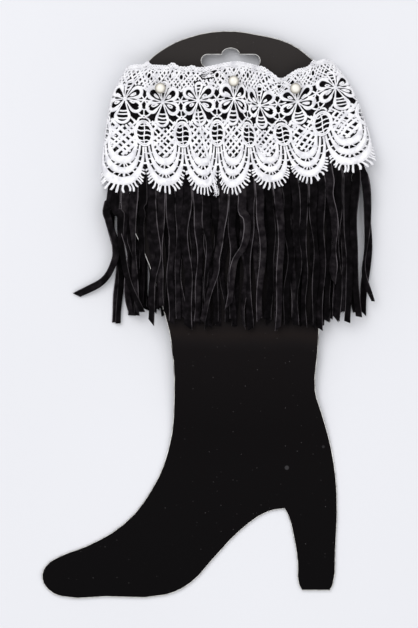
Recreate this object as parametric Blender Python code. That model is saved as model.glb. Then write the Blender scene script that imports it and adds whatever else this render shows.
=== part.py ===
"""A pair of lace and fringe boot toppers lying flat on a boot-shaped display card.

Each topper is a tube pressed flat: a guipure lace band sewn over a black faux-suede band whose
lower part is cut into fringe. The second topper lies inside the first, and both are pulled over
the card. Photo up is +Y, the part rests on z = 0, and all sizes below are in millimetres.
"""

import math
import random

import bmesh
import bpy
import numpy as np
from mathutils import Vector
from mathutils.geometry import delaunay_2d_cdt

MM = 0.001
MERGE_DISTANCE = 0.02

# Lace repeat: one flower, with half an oval medallion at each side
REPEATS = 7
LEFT_FOLD = -0.5
RIGHT_FOLD = REPEATS - 0.5
LAST_HUB = REPEATS - 1
PITCH = 21.0
HUB_DEPTH = 19.0
BAND_HEM = 66.0
VALLEY_DEPTH = 55.0
LACE_HEM = 69.5

# Openings of one repeat: ovals and stars between the flowers, petals round each hub
OVAL_DEPTH = 37.0
OVAL_SIZE = (7.2, 10.6)
OVAL_SIDES = 8
STAR_DEPTH = 20.5
STAR_SIZE = (5.0, 3.4)
STAR_SIDES = 6
PETAL_ANGLES = (38.0, 142.0, -22.0, 202.0)
# Half profiles of the petals, columns: distance from the hub, half width
SIDE_PETAL = [(3.4, 0.0), (6.2, 2.1), (8.4, 1.1)]
LONG_PETAL = [(4.2, 0.0), (6.6, 2.6), (10.6, 2.9), (12.2, 0.0)]
SCALLOP_OFFSETS = (0.42, 0.30, 0.12, -0.12, -0.30, -0.42)
SCALLOP_ROUNDNESS = 2.4

# Where the lace's lines lie, from the left side fold to the right one
# Columns: repeat line, then x and y at the top edge, at the flower hubs and at the scallops' hem
LACE_LINES = [
    (-0.5, -45.0, 134.0, -53.4, 117.0, -59.9, 68.0),
    (0.0, -39.0, 135.5, -46.0, 117.0, -46.6, 69.5),
    (1.0, -23.8, 135.0, -25.5, 115.2, -24.0, 69.0),
    (2.0, -6.0, 134.0, -6.5, 116.0, -2.7, 68.0),
    (3.0, 13.5, 137.0, 13.0, 117.0, 12.0, 68.0),
    (4.0, 28.2, 134.5, 26.9, 113.3, 34.7, 71.2),
    (5.0, 48.2, 133.3, 47.2, 115.4, 55.0, 74.0),
    (6.0, 61.5, 138.0, 68.0, 123.0, 77.8, 80.6),
    (6.5, 66.5, 137.0, 76.5, 123.5, 91.0, 83.0),
]

# Soft folds of the front, each a ridge that runs down the band
# Columns: repeat line, half width in repeats, height at the top edge, height at the hem
FOLDS = [
    (0.5, 0.9, 0.8, 1.4),
    (2.4, 0.4, 1.2, 1.4),
    (3.4, 0.8, 4.2, 1.6),
    (5.2, 0.6, 2.6, 1.2),
    (6.0, 0.6, 1.4, 2.2),
]
FOLD_FADE = 0.7
NOTCH_LINE = 4.5
NOTCH_HALF_WIDTH = 0.32
NOTCH_DROP = 6.5
NOTCH_REACH = 16.0

# Lines and depths that every layer of the toppers bends along
GRID_LINES = np.concatenate([
    np.arange(-0.5, -0.05, 0.1), np.arange(0.0, 4.1, 0.5), [4.25, 4.5, 4.75],
    np.arange(5.0, 6.05, 0.5), np.arange(6.1, 6.55, 0.1),
])
GRID_DEPTHS = np.array([0.0, 10.0, 31.4, 48.0, 62.0, 76.0])

# Layers, each by the height of its middle over the card's middle, and its thickness
CORE_HEIGHT = 5.85
OUTER_LACE = (5.25, 1.2)
OUTER_BAND = (3.9, 0.9)
INNER_LACE = (2.65, 1.0)
INNER_BAND = (1.45, 0.8)
SEAM_GAP = 0.3
INNER_SLIDE = 5.0
INNER_INSET = 1.5
# The layers under the outer lace are drawn in at its lower corners: how far at the left and right
# corner, how far along the lace in repeats, and the depths where it starts and is full
DRAWN_IN = (3.2, 6.9)
DRAWN_REACH = 2.4
DRAWN_DEPTHS = (44.0, 66.0)

# Suede band and fringe, measured down the topper from the lace's top edge
BAND_TOP = 2.5
# Cut-back corners of the band, each by its width in repeats and its depth
BAND_LEFT_CUT = (0.8, 7.0)
BAND_RIGHT_CUT = (0.5, 2.8)
BAND_BOTTOM = 43.7
STRIP_TOP = 44.0
STRIP_BOTTOM = 47.0
STRAND_LEAVES = 71.5
STRAND_SETTLES = 7.0
STRAND_SPACE = 0.32
STRAND_THICKNESS = 0.8
OUTER_STRANDS = 30
INNER_STRANDS = 26

# Heights of the middles of the strands' layers, back ones from the floor and front ones on the card
BACK_LEVELS_OUTER = (0.75, 1.85)
BACK_LEVELS_INNER = (2.95, 4.05)
FRONT_LEVELS_INNER = (7.35, 8.45)
FRONT_LEVELS_OUTER = (9.55, 10.65, 11.75, 12.85)
CARD_EDGE_SINK = 2.2
CARD_EDGE_OVERHANG = 4.0
FAR_SIDE_SINK = 2.0
SINK_LENGTH = 14.0
INNER_REACH = (-46.0, 75.8)
INNER_FRINGE_EDGE = 0.08

# Tips of the fringe along its width
# Columns: x, y of the front tips, y of the back tips
TIP_LINE = [
    (-62.0, -4.0, -5.0),
    (-44.0, -4.5, -2.0),
    (-36.0, -0.5, 1.5),
    (-27.0, 2.0, 3.0),
    (-22.0, -6.5, -5.0),
    (0.0, -7.5, -6.5),
    (40.0, -7.0, -7.0),
    (62.0, -7.0, -5.5),
    (70.0, -3.0, 0.5),
    (84.0, -2.5, 0.0),
    (92.0, 8.0, 6.0),
]

# Outer strands that leave their places, on the front (side 1) and on the back (side -1)
# Columns: side, strand, layer it lies in, then x and y of three bends and of the tip
FREE_STRANDS = [
    (1, 1, 2, -47.8, 54.0, -48.6, 38.0, -44.2, 20.0, -36.8, 1.6),
    (1, 4, 2, -37.2, 55.0, -37.1, 53.0, -37.0, 51.0, -36.8, 48.5),
    (1, 5, 3, -30.9, 48.8, -27.4, 32.5, -31.4, 16.3, -32.0, -4.2),
    (1, 13, 2, 6.8, 48.0, 2.6, 32.0, 2.8, 20.0, -4.3, -3.3),
    (1, 15, 2, 19.6, 52.0, 18.5, 38.0, 13.5, 27.5, 9.8, 4.9),
    (1, 25, 2, 66.6, 55.8, 66.2, 38.5, 66.8, 26.0, 67.4, 17.9),
    (1, 28, 2, 78.6, 60.0, 77.2, 44.0, 79.0, 22.0, 80.6, -1.0),
    (1, 29, 1, 85.2, 54.0, 84.9, 38.0, 83.9, 22.0, 88.4, 7.4),
    (-1, 0, 0, -54.3, 54.0, -51.6, 38.0, -49.2, 20.0, -51.8, -4.0),
    (-1, 1, 1, -53.6, 54.0, -51.4, 38.0, -48.9, 20.0, -49.5, -4.6),
    (-1, 28, 0, 78.2, 60.0, 77.6, 44.0, 78.0, 22.0, 79.0, 1.5),
]
# The stray strand at the left side, which comes down onto the surface
# Columns: x, y, height
STRAY_STRAND = [
    (-54.5, 51.0, 8.6), (-52.0, 38.0, 8.0), (-52.7, 28.5, 5.8), (-58.0, 18.2, 3.4), (-72.4, 10.8, 0.75),
]
# How the other strands hang: bends as shares of their length, and sways in millimetres
STRAND_BENDS = (0.3, 0.55, 0.8, 1.0)
BEND_SWAY = 0.55
TIP_SWAY = 0.7
# Shift of the tips to the right at the left side of the fringe, where it starts and its reach
TIP_GATHER = (4.5, -57.0, 34.0)
TIP_RAGGED = 1.5
SIDE_LEAN = 1.2
INNER_TIP_LIFT = 1.5
OUTER_SEEDS = {1: 12, -1: 10}
INNER_SEEDS = {1: 22, -1: 20}
DOWN = np.array([0.0, -1.0])

# Display card: its outline from the top of the arch, clockwise, with corners marked
# Columns: x, y, corner
CARD_THICKNESS = 1.5
CARD_OUTLINE = [
    (7.5, 154.0, False), (26.0, 152.0, False), (43.8, 147.0, False), (55.5, 138.5, False),
    (64.0, 130.0, False), (70.0, 117.0, False), (75.0, 100.0, False), (77.5, 84.0, False),
    (75.5, 66.0, False), (70.5, 50.0, False), (64.5, 32.0, False), (60.5, 10.0, False),
    (58.5, -20.0, False), (57.2, -41.0, False), (61.0, -54.0, False), (66.0, -72.6, False),
    (69.0, -96.5, False), (68.2, -128.0, False), (66.8, -146.5, False),
    (65.0, -149.6, True), (50.0, -149.6, True),
    (48.0, -146.0, False), (47.4, -134.0, False), (45.3, -120.3, False), (42.6, -109.5, False),
    (40.5, -105.2, True), (31.7, -106.8, False), (16.6, -117.0, False), (2.2, -132.0, False),
    (-10.8, -145.8, False), (-24.4, -152.1, False), (-56.5, -153.0, False),
    (-80.0, -153.0, False), (-87.5, -149.5, False), (-91.2, -143.0, False),
    (-89.5, -136.5, False), (-81.0, -130.6, False), (-66.8, -125.2, False),
    (-46.9, -113.3, False), (-32.5, -95.9, False), (-22.7, -73.0, False), (-19.6, -46.0, False),
    (-21.3, -14.0, False), (-24.5, 0.0, False), (-30.5, 20.0, False), (-38.5, 40.0, False),
    (-46.5, 56.0, False), (-51.0, 70.0, False), (-50.5, 90.0, False), (-48.0, 108.0, False),
    (-43.0, 120.0, False), (-34.0, 137.0, False), (-25.2, 144.3, False), (-12.0, 150.5, False),
]
CARD_BEND_TOP = -12.0
CARD_BEND_LENGTH = 72.0
CARD_BEND_CUTS = 9
CARD_MERGE_DISTANCE = 0.05
SLOT_CENTRE = (11.2, 137.8)
SLOT_SIZE = (31.6, 6.6)
SLOT_BUMP = (9.4, 3.4)

PEARL_DIAMETER = 6.0
PEARL_SINK = 0.35
# Columns: name, repeat line, depth below the top edge
PEARLS = [
    ("pearl_left", 0.91, 11.9),
    ("pearl_middle", 2.97, 10.1),
    ("pearl_right", 4.95, 11.3),
]

# Columns: name, sRGB red, green and blue, roughness
FINISHES = {
    "lace": ((0.93, 0.92, 0.91), 0.75),
    "suede": ((0.045, 0.042, 0.045), 0.95),
    "pearl": ((0.90, 0.87, 0.82), 0.20),
    "card": ((0.06, 0.055, 0.06), 0.60),
}


def clear_scene():
    for old in list(bpy.data.objects):
        bpy.data.objects.remove(old, do_unlink=True)


def make_collection(name):
    collection = bpy.data.collections.new(name)
    bpy.context.scene.collection.children.link(collection)
    return collection


def make_material(name):
    colour, roughness = FINISHES[name]
    material = bpy.data.materials.new(name)
    material.use_nodes = True
    shader = material.node_tree.nodes["Principled BSDF"]
    shader.inputs["Base Color"].default_value = (*colour, 1.0)
    shader.inputs["Roughness"].default_value = roughness
    return material


def smooth(knots, values, q):
    """A monotone cubic through values at the knots, straight beyond its ends.

    values has one row for each knot; its other axes, if any, match q.
    """
    knots = np.asarray(knots, dtype=float)
    values = np.asarray(values, dtype=float)
    q = np.asarray(q, dtype=float)
    shape = (len(knots),) + (1,) * q.ndim
    if values.ndim == 1:
        values = np.broadcast_to(values.reshape(shape), (len(knots),) + q.shape)
    steps = np.diff(knots).reshape((-1,) + (1,) * q.ndim)
    slopes = np.diff(values, axis=0) / steps
    before, after = slopes[:-1], slopes[1:]
    same_way = before * after > 0
    blend = 2 * before * after / np.where(same_way, before + after, 1.0)
    tangents = np.concatenate([slopes[:1], np.where(same_way, blend, 0.0), slopes[-1:]])
    k = np.clip(np.searchsorted(knots, q, side="right") - 1, 0, len(knots) - 2)

    def pick(table, index):
        return np.take_along_axis(table, index[None, ...], axis=0)[0]

    width = knots[k + 1] - knots[k]
    part = (q - knots[k]) / width
    inside = np.clip(part, 0.0, 1.0)
    low, high = pick(values, k), pick(values, k + 1)
    low_tangent, high_tangent = pick(tangents, k) * width, pick(tangents, k + 1) * width
    two, three = inside ** 2, inside ** 3
    curve = (low * (2 * three - 3 * two + 1) + low_tangent * (three - 2 * two + inside)
             + high * (3 * two - 2 * three) + high_tangent * (three - two))
    before_start = np.where(part < 0, part * low_tangent, 0)
    beyond_end = np.where(part > 1, (part - 1) * high_tangent, 0)
    return curve + before_start + beyond_end


def smooth_step(q):
    q = np.clip(q, 0.0, 1.0)
    return q * q * (3 - 2 * q)


LINES = np.array(LACE_LINES)
HALF_TURN = OUTER_LACE[0] * math.pi / 2


def line_lengths(level):
    """Length along the lace, from the left fold, of each lace line at one level of the table."""
    x = LINES[:, 1 + 2 * level]
    radius = OUTER_LACE[0]
    from_left = x - x[0]
    to_right = x[-1] - x
    width = x[-1] - x[0] - 2 * radius + 2 * HALF_TURN

    def length(distance):
        turn = np.arccos(np.clip(1 - distance / radius, -1, 1)) * radius
        return np.where(distance < radius, turn, HALF_TURN + distance - radius)

    return np.where(from_left < to_right, length(from_left), width - length(to_right)), width


def fold_height(s, t):
    """Height of the front's folds over the flat tube."""
    height = np.zeros_like(s)
    for line, half_width, at_top, at_hem in FOLDS:
        across = np.clip(1 - ((s - line) / half_width) ** 2, 0, None) ** 2
        height += across * (at_top + (at_hem - at_top) * t / BAND_HEM)
    return height * side_fade(s)


def side_fade(s):
    """From 0 at both side folds to 1 over the flat middle."""
    return smooth_step((s - LEFT_FOLD) / FOLD_FADE) * smooth_step((RIGHT_FOLD - s) / FOLD_FADE)


def draw_in(s, t):
    """Shift in x of what lies under the lace, towards the middle near both lower corners."""
    left = DRAWN_IN[0] * smooth_step(1 - (s - LEFT_FOLD) / DRAWN_REACH)
    right = DRAWN_IN[1] * smooth_step(1 - (RIGHT_FOLD - s) / DRAWN_REACH)
    start, full = DRAWN_DEPTHS
    return (left - right) * smooth_step((t - start) / (full - start))


def sheet_grid():
    """The front's shared grid of lines and depths, which the lace and suede both bend along.

    Gives x and y of the core sheet, the direction out of it in x and z, the place across the
    flat middle from -1 to 1, and the height of the folds, each with a row for every line.
    """
    s, t = np.meshgrid(GRID_LINES, GRID_DEPTHS, indexing="ij")
    depths = (0.0, HUB_DEPTH, BAND_HEM)
    lengths, widths, lefts, heights = [], [], [], []
    for level in range(3):
        length, width = line_lengths(level)
        lengths.append(smooth(LINES[:, 0], length, s))
        heights.append(smooth(LINES[:, 0], LINES[:, 2 + 2 * level], s))
        widths.append(np.full(s.shape, width))
        lefts.append(np.full(s.shape, LINES[0, 1 + 2 * level]))
    along = smooth(depths, np.array(lengths), t)
    width = smooth(depths, np.array(widths), t)
    left = smooth(depths, np.array(lefts), t) + OUTER_LACE[0]
    y = smooth(depths, np.array(heights), t)
    left_angle = np.clip(along / HALF_TURN, 0, 1) * math.pi / 2
    right_angle = np.clip((width - along) / HALF_TURN, 0, 1) * math.pi / 2
    flat = width - 2 * HALF_TURN
    across = np.clip(along - HALF_TURN, 0, flat)
    notch = np.clip(1 - ((s - NOTCH_LINE) / NOTCH_HALF_WIDTH) ** 2, 0, None)
    line_spacing = np.interp(s, LINES[:, 0], np.gradient(LINES[:, 5], LINES[:, 0]))
    line_above = s + draw_in(s, t) / line_spacing
    return {
        "x": left + across,
        "y": y,
        "out_x": np.cos(right_angle) - np.cos(left_angle),
        "out_z": np.minimum(np.sin(left_angle), np.sin(right_angle)),
        "place": 2 * across / flat - 1,
        "draw_in": draw_in(s, t),
        "fold": fold_height(s, t),
        "fold_below": fold_height(line_above, t) * side_fade(s),
        "notch": -NOTCH_DROP * notch * np.clip(1 - t / NOTCH_REACH, 0, 1),
    }


SHEET = sheet_grid()


def lay(s, t, out, side, inset=0.0, folded=True, below=True):
    """A point of a topper: repeat line s, depth t, and distance out from the core sheet.

    The topper is a tube pressed flat round the card: flat over its middle and turned through
    a quarter circle at each side fold. side is +1 on the front and -1 on the back. below says
    that the point lies under the outer lace, and is drawn in with the suede.
    """
    s, t, out = np.broadcast_arrays(np.asarray(s, float), np.asarray(t, float), np.asarray(out, float))
    i = np.clip(np.searchsorted(GRID_LINES, s, side="right") - 1, 0, len(GRID_LINES) - 2)
    j = np.clip(np.searchsorted(GRID_DEPTHS, t, side="right") - 1, 0, len(GRID_DEPTHS) - 2)
    a = (s - GRID_LINES[i]) / (GRID_LINES[i + 1] - GRID_LINES[i])
    b = (t - GRID_DEPTHS[j]) / (GRID_DEPTHS[j + 1] - GRID_DEPTHS[j])

    def read(name):
        table = SHEET[name]
        low = table[i, j] * (1 - b) + table[i, j + 1] * b
        high = table[i + 1, j] * (1 - b) + table[i + 1, j + 1] * b
        return low * (1 - a) + high * a

    x = read("x") - inset * read("place") + out * read("out_x")
    y = read("y")
    up = out * read("out_z")
    if below:
        x = x + read("draw_in")
    if folded:
        y = y + read("notch")
        up = up + read("fold_below" if below else "fold")
    return np.stack([x, y, CORE_HEIGHT + side * up], axis=-1)


def seam_edge(out):
    """Repeat line of a panel's edge, which leaves half the seam gap to the side fold."""
    return 0.5 - (SEAM_GAP / 2) * (OUTER_LACE[0] / out) / PITCH


def new_object(name, mesh, material, collection):
    mesh.materials.append(material)
    piece = bpy.data.objects.new(name, mesh)
    collection.objects.link(piece)
    mesh.shade_smooth()
    mesh.set_sharp_from_angle(angle=math.radians(40))
    return piece


def inside(loop, places):
    """Which places lie inside a closed loop of points, by the even-odd rule."""
    start = np.array(loop)
    end = np.roll(start, -1, axis=0)
    x, y = places[:, 0:1], places[:, 1:2]
    spans = (start[:, 1] > y) != (end[:, 1] > y)
    rise = np.where(end[:, 1] == start[:, 1], 1.0, end[:, 1] - start[:, 1])
    crossing = start[:, 0] + (y - start[:, 1]) * (end[:, 0] - start[:, 0]) / rise
    return np.count_nonzero(spans & (x < crossing), axis=1) % 2 == 1


def cut_sheet(outline, holes, columns, rows, thickness):
    """A flat cut-out sheet as a bmesh, with edges along the columns and rows so it can bend."""
    points, edges = [], []
    for loop in [outline] + holes:
        first = len(points)
        points += loop
        edges += [(first + k, first + (k + 1) % len(loop)) for k in range(len(loop))]
    low, high = np.min(outline, axis=0) - 1.0, np.max(outline, axis=0) + 1.0
    for x in columns:
        edges.append((len(points), len(points) + 1))
        points += [(x, low[1]), (x, high[1])]
    for y in rows:
        edges.append((len(points), len(points) + 1))
        points += [(low[0], y), (high[0], y)]
    flat = [Vector(point) for point in points]
    corners, _, triangles, _, _, _ = delaunay_2d_cdt(flat, edges, [], 0, MERGE_DISTANCE)
    places = np.array([corner[:] for corner in corners])
    centres = places[np.array(triangles)].mean(axis=1)
    kept = inside(outline, centres)
    for hole in holes:
        kept &= ~inside(hole, centres)
    shape = bmesh.new()
    verts = [shape.verts.new((x, y, -thickness / 2)) for x, y in places]
    for triangle, keep in zip(triangles, kept):
        if keep:
            shape.faces.new([verts[k] for k in triangle])
    bmesh.ops.delete(shape, geom=[vert for vert in verts if not vert.link_faces], context="VERTS")
    raised = bmesh.ops.extrude_face_region(shape, geom=shape.faces[:])["geom"]
    for vert in raised:
        if isinstance(vert, bmesh.types.BMVert):
            vert.co.z = thickness / 2
    return shape


def cut_along(shape, axis, places, tolerance):
    """Cut the faces of a bmesh along planes across one axis, so that it can bend there."""
    normal = [0.0, 0.0, 0.0]
    normal[axis] = 1.0
    for place in places:
        point = [0.0, 0.0, 0.0]
        point[axis] = place
        geometry = shape.verts[:] + shape.edges[:] + shape.faces[:]
        bmesh.ops.bisect_plane(shape, geom=geometry, dist=tolerance, plane_co=point, plane_no=normal)


def face_outward(shape):
    """Turn all faces of a closed bmesh outward, judged by the sign of its volume."""
    bmesh.ops.recalc_face_normals(shape, faces=shape.faces[:])
    if shape.calc_volume(signed=True) < 0:
        bmesh.ops.reverse_faces(shape, faces=shape.faces[:])


def move_points(shape, mapping):
    """Move all points of a bmesh at once with a function of their coordinates."""
    points = np.array([vertex.co[:] for vertex in shape.verts])
    for vertex, place in zip(shape.verts, mapping(points)):
        vertex.co = place


def ellipse(line, depth, width, height, sides):
    """An ellipse in the lace's flat pattern, with a point at its top and bottom."""
    points = []
    for k in range(sides):
        angle = math.pi / 2 + 2 * math.pi * k / sides
        points.append((line * PITCH + width / 2 * math.cos(angle), -depth - height / 2 * math.sin(angle)))
    return points


def petal(hub, angle, profile):
    """An opening along an angle from a flower's hub, from a half profile of along and across."""
    turn = math.radians(angle)
    across_back = [(along, -across) for along, across in reversed(profile) if across > 0]
    points = []
    for along, across in profile + across_back:
        x = along * math.cos(turn) - across * math.sin(turn)
        y = along * math.sin(turn) + across * math.cos(turn)
        points.append((hub * PITCH + x, -HUB_DEPTH + y))
    return points


def lace_outline(edge):
    """Outline of one lace panel in its flat pattern: a straight top and a scalloped hem."""
    first, last = -edge, LAST_HUB + edge
    between = [line for line in GRID_LINES if first < line < last]
    outline = [(line * PITCH, 0.0) for line in [first] + between + [last]]
    outline.append((last * PITCH, -VALLEY_DEPTH))
    for repeat in reversed(range(REPEATS)):
        for offset in SCALLOP_OFFSETS:
            bulge = math.sqrt(1 - abs(2 * offset) ** SCALLOP_ROUNDNESS)
            depth = VALLEY_DEPTH + (LACE_HEM - VALLEY_DEPTH) * bulge
            outline.append(((repeat + offset) * PITCH, -depth))
        if repeat > 0:
            outline.append(((repeat - 0.5) * PITCH, -VALLEY_DEPTH))
    outline.append((first * PITCH, -VALLEY_DEPTH))
    return outline


def lace_holes(open_work):
    """Openings over 4 mm in the lace: ovals and long petals, and where it shows petals and stars."""
    holes = []
    for repeat in range(REPEATS):
        holes.append(petal(repeat, -90.0, LONG_PETAL))
        if repeat > 0:
            holes.append(ellipse(repeat - 0.5, OVAL_DEPTH, *OVAL_SIZE, OVAL_SIDES))
        if open_work:
            if repeat > 0:
                holes.append(ellipse(repeat - 0.5, STAR_DEPTH, *STAR_SIZE, STAR_SIDES))
            for angle in PETAL_ANGLES:
                holes.append(petal(repeat, angle, SIDE_PETAL))
    return holes


def make_lace(name, layer, side, open_work, slide, inset, material, collection):
    """One panel of the lace band, cut flat with its openings and then laid round the card."""
    out, thickness = layer
    folded = side > 0 and inset == 0
    shape = cut_sheet(lace_outline(seam_edge(out)), lace_holes(open_work),
                      GRID_LINES[1:-1] * PITCH, slide - GRID_DEPTHS[1:-1], thickness)

    def mapping(points):
        placed = lay(points[:, 0] / PITCH, slide - points[:, 1], out + points[:, 2],
                     side, inset, folded, not open_work)
        return placed * MM

    move_points(shape, mapping)
    face_outward(shape)
    mesh = bpy.data.meshes.new(name)
    shape.to_mesh(mesh)
    shape.free()
    return new_object(name, mesh, material, collection)


def band_top(s):
    """The suede's top edge, which stays under the lace's braid and is cut back at both corners."""
    left = 1 - smooth_step((s - LEFT_FOLD) / BAND_LEFT_CUT[0])
    right = 1 - smooth_step((RIGHT_FOLD - s) / BAND_RIGHT_CUT[0])
    return BAND_TOP + BAND_LEFT_CUT[1] * left + BAND_RIGHT_CUT[1] * right


def loft_wall(closed_below, rows_outer, rows_inner):
    """A closed wall from an outer and an inner sheet of points, columns by rows.

    The lower edge between two columns is left open where strands are to grow on.
    """
    across, down = rows_outer.shape[:2]
    shape = bmesh.new()
    outer = [[shape.verts.new(point) for point in column] for column in rows_outer]
    inner = [[shape.verts.new(point) for point in column] for column in rows_inner]
    for i in range(across - 1):
        for j in range(down - 1):
            shape.faces.new((outer[i][j], outer[i][j + 1], outer[i + 1][j + 1], outer[i + 1][j]))
            shape.faces.new((inner[i][j], inner[i + 1][j], inner[i + 1][j + 1], inner[i][j + 1]))
        shape.faces.new((outer[i][0], outer[i + 1][0], inner[i + 1][0], inner[i][0]))
        if closed_below[i]:
            shape.faces.new((outer[i + 1][-1], outer[i][-1], inner[i][-1], inner[i + 1][-1]))
    for j in range(down - 1):
        shape.faces.new((outer[0][j + 1], outer[0][j], inner[0][j], inner[0][j + 1]))
        shape.faces.new((outer[-1][j], outer[-1][j + 1], inner[-1][j + 1], inner[-1][j]))
    return shape, outer, inner


def make_band(name, layer, side, slide, inset, material, collection):
    """One panel of the uncut suede band that the lace is sewn on."""
    out, thickness = layer
    edge = seam_edge(out)
    folded = side > 0 and inset == 0
    lines = [line for line in GRID_LINES if -edge < line < LAST_HUB + edge]
    s = np.concatenate([[-edge], lines, [LAST_HUB + edge]])
    top = band_top(s) + slide
    bottom = BAND_BOTTOM + slide
    depths = [depth for depth in GRID_DEPTHS if max(top) < depth < bottom]
    t = np.stack([top] + [np.full(s.shape, depth) for depth in depths + [bottom]], axis=1)
    outer = lay(s[:, None], t, out + thickness / 2, side, inset, folded) * MM
    inner = lay(s[:, None], t, out - thickness / 2, side, inset, folded) * MM
    shape, _, _ = loft_wall([True] * (len(s) - 1), outer, inner)
    face_outward(shape)
    mesh = bpy.data.meshes.new(name)
    shape.to_mesh(mesh)
    shape.free()
    return new_object(name, mesh, material, collection)


def card_edge(y):
    """Left and right edge of the card's leg at a height, from the outline's own points."""
    right = sorted((py, px) for px, py, _ in CARD_OUTLINE[3:14])
    left = sorted((py, px) for px, py, _ in CARD_OUTLINE[41:52])
    return (np.interp(y, [p[0] for p in left], [p[1] for p in left]),
            np.interp(y, [p[0] for p in right], [p[1] for p in right]))


def rest_height(x, y, level, side):
    """Height of a strand's middle, which is its layer's level on the back and over the card.

    Beyond the card the front strands sink, and the outer ones sink further beyond the inner fringe.
    """
    if side < 0:
        return np.full(np.shape(x), level)
    left, right = card_edge(y)
    beyond_card = np.maximum(left - x, x - right) - CARD_EDGE_OVERHANG
    sink = CARD_EDGE_SINK * smooth_step(beyond_card / SINK_LENGTH)
    if level > FRONT_LEVELS_INNER[-1]:
        beyond_inner = np.maximum(INNER_REACH[0] - x, x - INNER_REACH[1])
        sink = sink + FAR_SIDE_SINK * smooth_step(beyond_inner / SINK_LENGTH)
    return level - sink


def strand_path(root, index, count, side, levels, random_source, tip_shift):
    """The points along the middle of one strand below the lace, and the level of its layer."""
    lean = SIDE_LEAN * ((index == count - 1) - (index == 0))
    first = root + np.array([lean, -STRAND_SETTLES])
    free = {row[:2]: row[2:] for row in FREE_STRANDS}
    layer = index % 2
    outer = levels in (FRONT_LEVELS_OUTER, BACK_LEVELS_OUTER)
    if levels is FRONT_LEVELS_OUTER and index == 0:
        places = np.array(STRAY_STRAND)[:, :2]
    elif outer and (side, index) in free:
        layer, *flat = free[(side, index)]
        places = np.array(flat).reshape(4, 2)
    else:
        tips = np.array(TIP_LINE)
        shift, start, reach = TIP_GATHER
        gather = shift * smooth_step(1 - (root[0] - start) / reach)
        tip_x = root[0] + random_source.uniform(-TIP_SWAY, TIP_SWAY) + gather
        tip_y = np.interp(tip_x, tips[:, 0], tips[:, 1 if side > 0 else 2])
        tip = np.array([tip_x, tip_y + random_source.uniform(-TIP_RAGGED, TIP_RAGGED) + tip_shift])
        places = np.array([first + (tip - first) * part for part in STRAND_BENDS])
        places[:-1, 0] += [random_source.uniform(-BEND_SWAY, BEND_SWAY) for _ in STRAND_BENDS[:-1]]
    return np.concatenate([[first], places]), levels[layer]


def strand_edges(count, edge, depth, out, inset):
    """Repeat lines of the left and right edge of each strand, which are evenly wide below the lace."""
    s = np.linspace(-edge, LAST_HUB + edge, 400)
    points = lay(s, depth, out, 1, inset, False)
    steps = np.linalg.norm(np.diff(points, axis=0), axis=1)
    along = np.concatenate([[0.0], np.cumsum(steps)])
    cuts = np.linspace(0.0, along[-1], count + 1)
    places = np.stack([cuts[:-1] + STRAND_SPACE / 2, cuts[1:] - STRAND_SPACE / 2], axis=1).ravel()
    return np.interp(places, along, s)


def make_fringe(name, layer, side, count, levels, slide, inset, tip_shift, seed, material, collection):
    """The fringe of one panel: a narrow backing strip and the strands that are cut from it."""
    out, _ = layer
    thickness = STRAND_THICKNESS
    edge = INNER_FRINGE_EDGE if inset else seam_edge(out)
    folded = side > 0 and inset == 0
    leaves = STRAND_LEAVES + slide
    s = strand_edges(count, edge, leaves, out, inset)
    t = np.array([STRIP_TOP, STRIP_BOTTOM]) + slide
    outer = lay(s[:, None], t[None, :], out + thickness / 2, side, inset, folded) * MM
    inner = lay(s[:, None], t[None, :], out - thickness / 2, side, inset, folded) * MM
    closed = [k % 2 == 1 for k in range(len(s) - 1)]
    shape, outer_points, inner_points = loft_wall(closed, outer, inner)
    random_source = random.Random(seed)
    for index in range(count):
        left, right = 2 * index, 2 * index + 1
        edges = s[[left, right]]
        root = lay(edges, leaves, out, side, inset, folded)
        middle = root.mean(axis=0)[:2]
        path, level = strand_path(middle, index, count, side, levels, random_source, tip_shift)
        top = lay(edges, leaves, out + thickness / 2, side, inset, folded)
        bottom = lay(edges, leaves, out - thickness / 2, side, inset, folded)
        rings = [np.array([top[0], top[1], bottom[1], bottom[0]])]
        half_width = np.linalg.norm(root[1] - root[0]) / 2
        for k, centre in enumerate(path):
            ahead = path[min(k + 1, len(path) - 1)] - path[max(k - 1, 0)] if k else DOWN
            across = np.array([-ahead[1], ahead[0]]) * half_width / np.linalg.norm(ahead)
            ends = np.stack([centre - across, centre + across])
            z = rest_height(ends[:, 0], ends[:, 1], level, side)
            if levels is FRONT_LEVELS_OUTER and index == 0 and k > 0:
                z = np.full(2, STRAY_STRAND[k - 1][2])
            top, bottom = z + side * thickness / 2, z - side * thickness / 2
            rings.append(np.array([
                (*ends[0], top[0]), (*ends[1], top[1]), (*ends[1], bottom[1]), (*ends[0], bottom[0]),
            ]))
        above, below = outer_points, inner_points
        last = [above[left][-1], above[right][-1], below[right][-1], below[left][-1]]
        for ring in rings:
            points = [shape.verts.new(point) for point in ring * MM]
            for corner in range(4):
                after = (corner + 1) % 4
                shape.faces.new((last[corner], points[corner], points[after], last[after]))
            last = points
        shape.faces.new(last)
    face_outward(shape)
    mesh = bpy.data.meshes.new(name)
    shape.to_mesh(mesh)
    shape.free()
    return new_object(name, mesh, material, collection)


def slot_outline():
    """The hang slot: a long rounded hole with a round rise at the middle of its top."""
    cx, cy = SLOT_CENTRE
    half, radius = SLOT_SIZE[0] / 2, SLOT_SIZE[1] / 2
    bump_half, rise = SLOT_BUMP[0] / 2, SLOT_BUMP[1]
    points = []
    for k in range(7):
        angle = -math.pi / 2 + math.pi * k / 6
        points.append((cx + half - radius + radius * math.cos(angle), cy + radius * math.sin(angle)))
    for k in range(7):
        angle = math.pi * k / 6
        points.append((cx + bump_half * math.cos(angle), cy + radius + rise * math.sin(angle)))
    for k in range(7):
        angle = math.pi / 2 + math.pi * k / 6
        points.append((cx - half + radius + radius * math.cos(angle), cy + radius * math.sin(angle)))
    return points


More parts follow.
